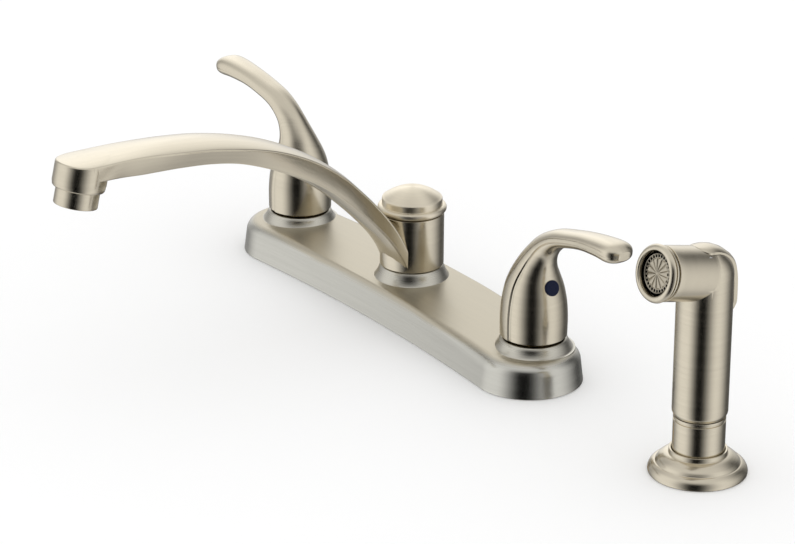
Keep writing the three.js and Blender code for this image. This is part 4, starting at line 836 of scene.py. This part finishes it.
class FaucetLooks(bpy.types.PropertyGroup):
    """Sizes and colours that a user may change before building."""

    plate_corner: a_length(
        "Plate corner", "Radius of the upper edge of the deck plate's long sides", 0.0014
    )
    plate_shoulder: a_length(
        "Plate shoulder", "Radius of the upper edge of the deck plate's round ends", 0.0064
    )
    boss_corner: a_length("Boss corner", "Radius of the upper edge of the raised bosses", 0.0012)
    arm_edge: a_length("Spout edge", "Radius of the spout's upper edges", 0.0009)
    ribbon_step: a_length(
        "Ribbon step", "How far the handle's outer ribbon stands over its belly", 0.0006
    )
    lever_crease: a_share(
        "Lever crease", "How sharp the lever's side edges are, from 0 for round", 1.0, 0.0, 1.5
    )
    spray_holes: a_count("Spray holes", "Holes in the ring of the spray's face", 28, 6, 40)
    petals: a_count("Petals", "Petals in the middle of the spray's face", 13, 3, 24)
    grain_depth: a_length("Brushing depth", "Depth of the strokes", 0.000016, precision=6)
    grain_size: a_length("Brushing width", "Typical width of a stroke", 0.0005, precision=5)
    nickel_colour: a_colour("Nickel", "Colour of the satin nickel", (0.675, 0.615, 0.495))
    nickel_roughness: a_share(
        "Nickel roughness", "How blurred the nickel's reflections are", 0.22, 0.02, 1.0
    )
    # The plate's walls and top are one nickel painted as a lit and a shaded copy: the walls' cooler
    # tone is a painted highlight's pale tint, the top's darker, warmer tone is painted shade; only
    # the top's higher roughness is its own coarser brushing
    plate_colour: a_colour("Plate", "Colour of the deck plate's nickel", (0.59, 0.58, 0.53))
    plate_top_shaded_colour: a_colour(
        "Plate top", "Colour of the coarser nickel on top of the deck plate", (0.56, 0.515, 0.415)
    )
    plate_top_roughness: a_share(
        "Plate top roughness", "How blurred the reflections in its top are", 0.42, 0.02, 1.0
    )
    brass_colour: a_colour("Brass", "Colour of the valve bodies and nipples", (0.64, 0.46, 0.2))
    cold_colour: a_colour("Cold mark", "Colour of the cold index button", (0.003, 0.006, 0.026))
    hot_colour: a_colour("Hot mark", "Colour of the hot index button", (0.3, 0.012, 0.012))
    floor_colour: a_colour("Floor", "Colour of the studio floor", (0.93, 0.93, 0.93))


# ---------------------------------------------------------------- build steps


class BuildStep:
    """What all the build steps share."""

    bl_options = {"REGISTER", "UNDO"}


class FAUCET_OT_deck_plate(BuildStep, bpy.types.Operator):
    """Build the cast deck plate with its three bosses"""

    bl_idname = "faucet.deck_plate"
    bl_label = "Deck plate"

    def execute(self, context):
        looks = context.scene.faucet_looks
        plate = plate_skin(looks.plate_corner / MM, looks.plate_shoulder / MM)
        # The plate's top is marked for rougher brushing and a darker tone, the tone a painted
        # shade; nothing on the plate is painted near black
        plate = plate.finished("plate", coarse=lambda p: ease(14.6, 16.4, p.z), shade=lambda p: 0)
        stands = [(VALVE_X, VALVE_BOSS), (-VALVE_X, VALVE_BOSS), (0, SPOUT_BOSS)]
        stands = [(Matrix.Translation((x, 0, 0)), boss) for x, boss in stands]
        combined(plate, [rod(boss[-1], -5, 40, place) for place, boss in stands], "DIFFERENCE")
        bosses = Skin()
        for place, boss in stands:
            bosses.turned(boss_profile(*boss, looks.boss_corner / MM), place, AROUND_COARSE)

        # Painted shade: the bosses' tops are painted near black under each hub, where the gap below
        # the hub lies in shade
        def under_hub(p):
            away = math.hypot(abs(p.x) - VALVE_X, p.y)
            return p.z > BOSS_SHADE_Z and away < BOSS_SHADE_RADIUS

        bosses = bosses.finished("bosses", coarse=lambda p: BOSS_COARSE_AND_SHADED, shade=under_hub)
        merged(plate, [bosses])
        # The top's darker tone is painted shade, its roughness a coarser brushing
        coarse = (looks.plate_top_shaded_colour, looks.plate_top_roughness)
        finish = brushed("plate_nickel", looks, looks.plate_colour, coarse=coarse)
        dress(plate, finish, "fixed", "deck_plate")
        return {"FINISHED"}


class FAUCET_OT_spout(BuildStep, bpy.types.Operator):
    """Build the spout: sleeve, arm and nose in one casting"""

    bl_idname = "faucet.spout"
    bl_label = "Spout"

    def execute(self, context):
        looks = context.scene.faucet_looks
        edge = looks.arm_edge / MM
        spout = arm_skin(edge).finished("spout_casting")
        with edited(spout.data) as shape:
            cut = bmesh.ops.bisect_plane(
                shape,
                geom=shape.verts[:] + shape.edges[:] + shape.faces[:],
                plane_co=Vector((0, 0, SLEEVE_BOTTOM + 0.05)) * MM,
                plane_no=(0, 0, -1),
                clear_outer=True,
            )
            rim = [e for e in cut["geom_cut"] if isinstance(e, bmesh.types.BMEdge)]
            bmesh.ops.edgeloop_fill(shape, edges=rim)
            bmesh.ops.recalc_face_normals(shape, faces=shape.faces)
        combined(spout, [rod(SLEEVE_BORE, 20, 60)], "DIFFERENCE")
        outline = [(SLEEVE_BORE, SLEEVE_BOTTOM), (SLEEVE_RADIUS, SLEEVE_BOTTOM)]
        outline += [(SLEEVE_RADIUS, SLEEVE_TOP), (SLEEVE_BORE, SLEEVE_TOP)]
        profile = softened(outline, 0.4, closed=True, longest=6)
        sleeve = Skin().turned(profile, around=AROUND_FINE)
        last = len(sleeve.points) - AROUND_FINE
        for i in range(AROUND_FINE):
            j = (i + 1) % AROUND_FINE
            sleeve.faces.append([last + i, last + j, j, i])
        merged(spout, [sleeve.finished("sleeve"), nose_skin(edge * 0.9).finished("nose")])
        dress(spout, nickel(looks), "spout", "spout")
        return {"FINISHED"}


class FAUCET_OT_cap(BuildStep, bpy.types.Operator):
    """Build the bead and domed cap over the sleeve"""

    bl_idname = "faucet.cap"
    bl_label = "Spout cap"

    def execute(self, context):
        looks = context.scene.faucet_looks
        bead = [(14.8, 0.2), (16.1, 0.45), (16.95, 1.1), (17.2, 2.05), (16.95, 3), (16.1, 3.6)]
        shoulder, shoulder_z, dome = 14.5, 7.45, 5.2
        profile = [(0, 9), (13.6, 5.6), (13.6, 0), (14.6, 0), *curve([*bead, (15.2, 3.8)], 5)]
        profile += [(15.05, 4), (15.08, 5.3), (15.08, 6.5)]
        profile += curve([(15.08, 6.8), (14.9, 7.2), (shoulder, shoulder_z)], 5)
        for i in range(1, 17):
            out = 1 - i / 16
            profile.append((shoulder * out, shoulder_z + dome * (1 - out**2.1)))
        place = Matrix.Translation((0, 0, CAP_Z))
        cap = Skin().turned(profile, place, AROUND_FINE).finished("cap")
        # Painted highlight: the cap's nickel is painted brighter than the other pieces' nickel
        tone = [c * 1.2 for c in looks.nickel_colour]
        rings = {"Anisotropic": 0.85, "Anisotropic Rotation": 0.25}
        finish = brushed("turned_nickel_painted_highlight", looks, tone, 1.6, 2, rings)
        dress(cap, finish, "spout", "spout_cap")
        return {"FINISHED"}


class FAUCET_OT_aerator(BuildStep, bpy.types.Operator):
    """Build the aerator's outlet ring"""

    bl_idname = "faucet.aerator"
    bl_label = "Aerator"

    def execute(self, context):
        looks = context.scene.faucet_looks
        ledge = -0.3 - NOSE_SKIRT
        outline = [(7.6, -10.1), (10.5, -10.1), (10.5, ledge), (9.6, ledge), (9.6, 5.5)]
        outline += [(7.6, 5.5), (7.6, -5.6), (7.6, -10.1)]
        profile = softened(outline, 0.5, steps=5, longest=3)
        ring = Skin().turned(profile, NOSE_PLACE, AROUND_COARSE).finished("aerator_ring")
        dress(ring, nickel(looks), "spout", "aerator_housing")
        return {"FINISHED"}


class FAUCET_OT_handles(BuildStep, bpy.types.Operator):
    """Build both teardrop hubs with their levers"""

    bl_idname = "faucet.handles"
    bl_label = "Handles"

    def execute(self, context):
        looks = context.scene.faucet_looks
        for name, place in both_handles():
            skin = handle_skin(looks)
            skin.points = [place @ p for p in skin.points]
            lever = skin.finished(f"lever_{name}", 32)
            dress(lever, nickel(looks), f"{name}_handle", f"handle_{name}")
        return {"FINISHED"}


class FAUCET_OT_buttons(BuildStep, bpy.types.Operator):
    """Build the index buttons in the handles"""

    bl_idname = "faucet.buttons"
    bl_label = "Index buttons"

    def execute(self, context):
        looks = context.scene.faucet_looks
        cold, hot = ("blue_plastic", looks.cold_colour), ("red_plastic", looks.hot_colour)
        profile = [(0, -1.7), (3.85, -1.7), (3.85, 0)]
        profile += curve([(3.82, 0.05), (3.6, 0.2), (2.6, 0.3), (1.3, 0.36), (0.01, 0.38)], 4)
        profile.append((0, 0.38))
        for (name, place), (slot, tone) in zip(both_handles(), (cold, hot)):
            skin = Skin().turned(profile, place @ BUTTON_PLACE, AROUND_SMALL)
            button = skin.finished(f"button_{name}")
            finish = cast(f"{name}_mark", tone, 0.0, 0.3, 300, 0.00001, sheen=0.15)
            dress(button, finish, f"{name}_handle", f"index_button_{name}")
        return {"FINISHED"}


class FAUCET_OT_holder(BuildStep, bpy.types.Operator):
    """Build the spray's stepped holder"""

    bl_idname = "faucet.holder"
    bl_label = "Spray holder"

    def execute(self, context):
        looks = context.scene.faucet_looks
        shank = [(12.35, -41), (12.35, -42), (13.9, -42), (13.9, 0), (22.5, 0)]
        foot = [(22.7, 0.2), (22.8, 0.9), (22.7, 1.9), (22.2, 3.1), (21.3, 4.2), (20.2, 4.95)]
        dome = [(19.25, 5.4), (18.95, 5.9), (18.2, 6.9), (17, 7.9), (15.6, 8.75), (14.5, 9.2)]
        mouth = [(13.5, 9.6), (13.45, 11.7), (12.35, 11.7), (12.35, -41)]
        profile = [*shank, *curve([*foot, (19.5, 5.2)], 5), *curve([*dome, (13.8, 9.4)], 5)]
        profile += softened(mouth, 0.35, steps=5, longest=5)
        holder = Skin().turned(profile, Matrix.Translation(SPRAY)).finished("holder", 24)
        dress(holder, nickel(looks), "fixed", "spray_holder")
        return {"FINISHED"}


class FAUCET_OT_collar(BuildStep, bpy.types.Operator):
    """Build the lower sleeve of the wand"""

    bl_idname = "faucet.collar"
    bl_label = "Spray collar"

    def execute(self, context):
        looks = context.scene.faucet_looks
        top, low = COLLAR_TOP, COLLAR_BOTTOM
        radius, groove, shank, bore = 12.05, 11.45, 8.6, 7
        outline = [(bore, low - 19), (shank, low - 19), (shank, low), (radius, low)]
        outline += [(radius, top - 2.2), (groove, top - 1.95), (groove, top - 1.4)]
        outline += [(radius, top - 1.15), (radius, top), (5, top), (5, top - 4), (bore, top - 4)]
        profile = softened([*outline, outline[0]], 0.18, steps=3, longest=5)
        collar = Skin().turned(profile, Matrix.Translation(SPRAY)).finished("collar")
        dress(collar, nickel(looks), "spray_base", "spray_collar")
        return {"FINISHED"}


class FAUCET_OT_wand(BuildStep, bpy.types.Operator):
    """Build the wand and its head"""

    bl_idname = "faucet.wand"
    bl_label = "Wand"

    def execute(self, context):
        looks = context.scene.faucet_looks
        low, radius = COLLAR_TOP + FIT, WAND_RADIUS
        profile = [(0, low + 20), (5, low + 20), (5, low + 0.1), (11.6, low)]
        lip = [(11.9, low + 0.12), (12.2, low + 0.7), (12.65, low + 1.6), (12.8, low + 2.6)]
        profile += curve(lip, 4) + [(radius, z) for z in range(33, 97, 4)]
        for i in range(18):
            t = math.radians(5 * i)
            profile.append((radius * math.cos(t), HEAD_Z + radius * math.sin(t)))
        profile.append((0, HEAD_Z + radius))
        wand = Skin().turned(profile, Matrix.Translation(SPRAY)).finished("wand")
        outline = [(0, 0), (HEAD_RADIUS, 0), (HEAD_RADIUS, HEAD_LENGTH), (8, HEAD_LENGTH)]
        barrel = softened([*outline, (8, 12), (0, 12)], 0.3)
        combined(wand, [Skin().turned(barrel, HEAD_PLACE).finished("barrel")], "UNION")
        pocket = trigger_skin(FIT, POCKET_RAISE, 0).finished("pocket")
        combined(wand, [pocket], "DIFFERENCE")
        dress(wand, nickel(looks), "spray_wand", "wand_body")
        return {"FINISHED"}


class FAUCET_OT_trigger(BuildStep, bpy.types.Operator):
    """Build the trigger over the head and its back"""

    bl_idname = "faucet.trigger"
    bl_label = "Trigger"

    def execute(self, context):
        looks = context.scene.faucet_looks
        strip = trigger_skin(0, 0, TRIGGER_EDGE).finished("trigger_strip", 40)
        dress(strip, nickel(looks), "trigger", "spray_trigger")
        return {"FINISHED"}


class FAUCET_OT_bezel(BuildStep, bpy.types.Operator):
    """Build the ring round the spray's face"""

    bl_idname = "faucet.bezel"
    bl_label = "Bezel"

    def execute(self, context):
        looks = context.scene.faucet_looks
        barrel = [(9, 0), (11.9, 0), (11.9, 0.6), (12.75, 0.75), (12.75, 1.7), (11.9, 1.85)]
        barrel += [(11.9, 2.5), (13.1, 2.7)]
        lip = [(13.2, 2.9), (13.1, 3.4), (12.6, 4.25), (11.9, 4.8), (11.1, 5), (10.5, 4.8)]
        lip += [(10.15, 4.2), (10, 3.4)]
        seat = [(10, 2.8), (10.6, 2.8), (10.6, 1.2), (9, 1.2), (9, 0)]
        profile = [*softened(barrel, 0.2, longest=2), *curve(lip, 4), *seat]
        place = HEAD_PLACE @ Matrix.Translation((0, 0, HEAD_LENGTH + FIT))
        ring = Skin().turned(profile, place).finished("bezel")
        dress(ring, nickel(looks), "spray_wand", "spray_bezel")
        return {"FINISHED"}


class FAUCET_OT_face(BuildStep, bpy.types.Operator):
    """Build the petalled spray face with its ring of holes"""

    bl_idname = "faucet.face"
    bl_label = "Spray face"

    def execute(self, context):
        looks = context.scene.faucet_looks
        front, back = HEAD_LENGTH + FIT + 2.8, HEAD_LENGTH + FIT + 1.5
        radii = [10.3, 9.4, 9.1, 8.8, 8.6, 8.3, 7.4, 6.9, 6.5, 6.1, 5.2, 4.2, 3.1, 2.1, 1.3, 0.7]
        hole_circle, hole = 7.8, 0.68

        def relief(radius, angle):
            petal = abs(math.sin(looks.petals * angle / 2))
            valley = 0.6 * (petal**0.4 - 1) * ease(0.5, 1.6, radius) * (1 - ease(6.5, 6.9, radius))
            dome = 0.25 * (1 - ease(1, 6.6, radius))
            trench = -0.45 * ease(6.5, 6.9, radius) * (1 - ease(8.3, 8.7, radius))
            moat = -0.85 * ease(8.8, 9.4, radius)
            return front - 0.25 + dome + valley + trench + moat

        # Painted shade: the face is painted dark in the moat round its rim, and partly dark in the
        # trench of the holes
        def shade(p):
            return ease(8.8, 9.2, p.xy.length) + 0.3 * ease(6.5, 6.8, p.xy.length)

        def ring(radius, height):
            angles = turns(looks.petals * 16)
            return [(radius * math.cos(t), radius * math.sin(t), height(radius, t)) for t in angles]

        rings = [[(0, 0, back)], ring(radii[0], lambda *_: back)]
        rings += [*(ring(radius, relief) for radius in radii), [(0, 0, front)]]
        face = Skin().grid(rings, [[(0, 0, 0)] * len(row) for row in rings])
        face = face.finished("face", 45, shade=shade)
        face.data.transform(METRES @ HEAD_PLACE @ METRES.inverted())
        drills, low, high = Skin(), back + 0.15, front + 2
        for t in turns(looks.spray_holes):
            spot = Matrix.Translation((hole_circle * math.cos(t), hole_circle * math.sin(t), 0))
            profile = [(0, low), (hole, low), (hole, high), (0, high)]
            drills.turned(profile, HEAD_PLACE @ spot, 12)
        combined(face, [drills.finished("drills")], "DIFFERENCE", 45)
        tone = [c * 0.75 for c in looks.nickel_colour]
        # The face's moat and hole trench carry painted shade
        finish = cast("face_nickel", tone, 1.0, 0.3, 900, 0.00001, shaded=True)
        dress(face, finish, "spray_wand", "spray_face")
        return {"FINISHED"}


class FAUCET_OT_hardware(BuildStep, bpy.types.Operator):
    """Finish the hidden hardware that keeps the frame's shapes"""

    bl_idname = "faucet.hardware"
    bl_label = "Hidden hardware"

    def execute(self, context):
        looks = context.scene.faucet_looks
        # colour, metallic, roughness and how fine the uneven skin is
        finishes = {
            "nickel": (looks.nickel_colour, 1.0, 0.28, 800),
            "brass": (looks.brass_colour, 1.0, 0.34, 500),
            "copper": ((0.72, 0.34, 0.2), 1.0, 0.3, 500),
            "steel": ((0.5, 0.5, 0.5), 1.0, 0.32, 900),
            "rubber": ((0.015, 0.015, 0.015), 0.0, 0.7, 1500),
            "ceramic": ((0.78, 0.75, 0.68), 0.0, 0.2, 700),
            "white_plastic": ((0.68, 0.68, 0.65), 0.0, 0.42, 600),
            "grey_plastic": ((0.18, 0.18, 0.19), 0.0, 0.48, 600),
        }
        made = {slot: cast(f"{slot}_part", *row, 0.00002) for slot, row in finishes.items()}
        for row in frame["record"]["subparts"]:
            node = frame["nodes"][row["node"]]
            if not node.hide_render and row["material_slot"] in made:
                coat(node, made[row["material_slot"]])
                smoothed(node, 35)
        return {"FINISHED"}


# ---------------------------------------------------------------- studio

# The photograph's view: the camera's angles and its distance from the origin, in degrees and
# millimetres, then its focal length, the origin's place and the frame's size, in pixels
CAMERA_AZIMUTH, CAMERA_ELEVATION, CAMERA_ROLL, CAMERA_DISTANCE = 54.98, 22.32, -0.39, 1773.35
FOCAL_LENGTH, ORIGIN_AT, FRAME_SIZE, SENSOR = 3525.88, (411.32, 308.14), (795, 544), 36
# How bright the studio's walls, roof and ground are in reflections
LEFT_WALL, RIGHT_WALL, BACK_WALL, ROOF, GROUND = 0.62, 0.58, 0.75, 0.5, 0.38
# Half the floor's width and its height, in metres
FLOOR_REACH, FLOOR_Z = 40, -0.0002


class FAUCET_OT_stage(BuildStep, bpy.types.Operator):
    """Set up the floor, the studio's light and the camera"""

    bl_idname = "faucet.stage"
    bl_label = "Studio"

    def execute(self, context):
        looks = context.scene.faucet_looks
        mesh = bpy.data.meshes.new("floor")
        corners = [(x * FLOOR_REACH, y * FLOOR_REACH, 0) for x in (-1, 1) for y in (-x, x)]
        mesh.from_pydata(corners, [], [(1, 0, 3, 2)])
        floor = bpy.data.objects.new("floor", mesh)
        bpy.context.scene.collection.objects.link(floor)
        floor.location.z = FLOOR_Z
        floor.visible_glossy = False
        sockets = {"Base Color": rgba(looks.floor_colour), "Specular IOR Level": 0.0}
        coat(floor, principled("floor", 0.0, 0.9, sockets)[0])
        self.light()
        self.camera()
        return {"FINISHED"}

    def light(self):
        """Walls left, right and behind for the metal to reflect, and an even light."""
        world = bpy.context.scene.world = bpy.data.worlds.new("studio")
        world.use_nodes = True
        world.cycles.sampling_method = "NONE"
        shader = Shader(world.node_tree)
        direction = shader.wire("Generated", "TexCoord")
        parts = shader.node("SeparateXYZ", None, {"Vector": direction})
        x, y, z = (Wire(shader.tree, socket) for socket in parts.outputs)
        turn = math.radians(CAMERA_AZIMUTH)
        aside = x * math.cos(turn) + y * math.sin(turn)
        ahead = x * math.sin(turn) - y * math.cos(turn)
        angle = aside.angle_to(ahead) * (180 / math.pi)
        left = (1 - angle.smooth(-70, -18)) * (0.25 + 0.75 * angle.smooth(-150, -92))
        right = angle.smooth(-4, 56) * (0.1 + 0.9 * (1 - angle.smooth(62, 130)))
        back = angle.absolute().smooth(125, 178) * z.smooth(-0.55, 0.3)
        walls = left * LEFT_WALL + right * RIGHT_WALL + back * BACK_WALL
        up, down = z.smooth(0.5, 0.95), 1 - z.smooth(-0.98, -0.7)
        level = walls * (1 - up) * (1 - down) + up * ROOF + down * GROUND
        black, white = rgba((0.0, 0.0, 0.0)), rgba((1.0, 1.0, 1.0))
        reflected = shader.mix_colour(level * (1 / LEFT_WALL), black, white)
        glossy = shader.wire("Is Glossy Ray", "LightPath")
        colour = shader.mix_colour(glossy, rgba((1.1, 1.1, 1.1)), reflected)
        background = shader.node("Background", None, {"Color": colour, "Strength": 1.0})
        shader.node("OutputWorld", None, {"Surface": background.outputs[0]})

    def camera(self):
        """The photograph's view."""
        degrees = (CAMERA_AZIMUTH, CAMERA_ELEVATION, CAMERA_ROLL)
        azimuth, elevation, roll = (math.radians(t) for t in degrees)
        level, rise = math.cos(elevation), math.sin(elevation)
        back = Vector((math.sin(azimuth) * level, -math.cos(azimuth) * level, rise))
        right = Vector((math.cos(azimuth), math.sin(azimuth), 0))
        up = back.cross(right)
        image_right = right * math.cos(roll) - up * math.sin(roll)
        image_up = right * math.sin(roll) + up * math.cos(roll)
        aside = (ORIGIN_AT[0] - FRAME_SIZE[0] / 2) / FOCAL_LENGTH * CAMERA_DISTANCE
        above = (FRAME_SIZE[1] / 2 - ORIGIN_AT[1]) / FOCAL_LENGTH * CAMERA_DISTANCE
        place = back * CAMERA_DISTANCE - image_right * aside - image_up * above
        data = bpy.data.cameras.new("camera")
        camera = bpy.data.objects.new("camera", data)
        bpy.context.scene.collection.objects.link(camera)
        data.sensor_width, data.lens = SENSOR, FOCAL_LENGTH / FRAME_SIZE[0] * SENSOR
        data.clip_start, data.clip_end = 0.05, 100
        turn = Matrix((image_right, image_up, back)).transposed().to_4x4()
        camera.matrix_world = Matrix.Translation(place * MM) @ turn
        bpy.context.scene.camera = camera
        bpy.context.scene.view_settings.view_transform = "Standard"


STEPS = (
    FAUCET_OT_deck_plate,
    FAUCET_OT_spout,
    FAUCET_OT_cap,
    FAUCET_OT_aerator,
    FAUCET_OT_handles,
    FAUCET_OT_buttons,
    FAUCET_OT_holder,
    FAUCET_OT_collar,
    FAUCET_OT_wand,
    FAUCET_OT_trigger,
    FAUCET_OT_bezel,
    FAUCET_OT_face,
    FAUCET_OT_hardware,
    FAUCET_OT_stage,
)


class FAUCET_PT_panel(bpy.types.Panel):
    """The faucet's settings and build steps"""

    bl_idname = "FAUCET_PT_panel"
    bl_label = "Side spray faucet"
    bl_space_type = "VIEW_3D"
    bl_region_type = "UI"
    bl_category = "Faucet"

    def draw(self, context):
        for name in FaucetLooks.__annotations__:
            self.layout.prop(context.scene.faucet_looks, name)
        for step in STEPS:
            self.layout.operator(step.bl_idname)


CLASSES = (FaucetLooks, *STEPS, FAUCET_PT_panel)


def register():
    for kind in CLASSES:
        bpy.utils.register_class(kind)
    bpy.types.Scene.faucet_looks = bpy.props.PointerProperty(type=FaucetLooks)


def unregister():
    del bpy.types.Scene.faucet_looks
    for kind in reversed(CLASSES):
        bpy.utils.unregister_class(kind)


def main():
    register()
    for step in STEPS:
        group, name = step.bl_idname.split(".")
        getattr(getattr(bpy.ops, group), name)()


if __name__ == "__main__":
    main()
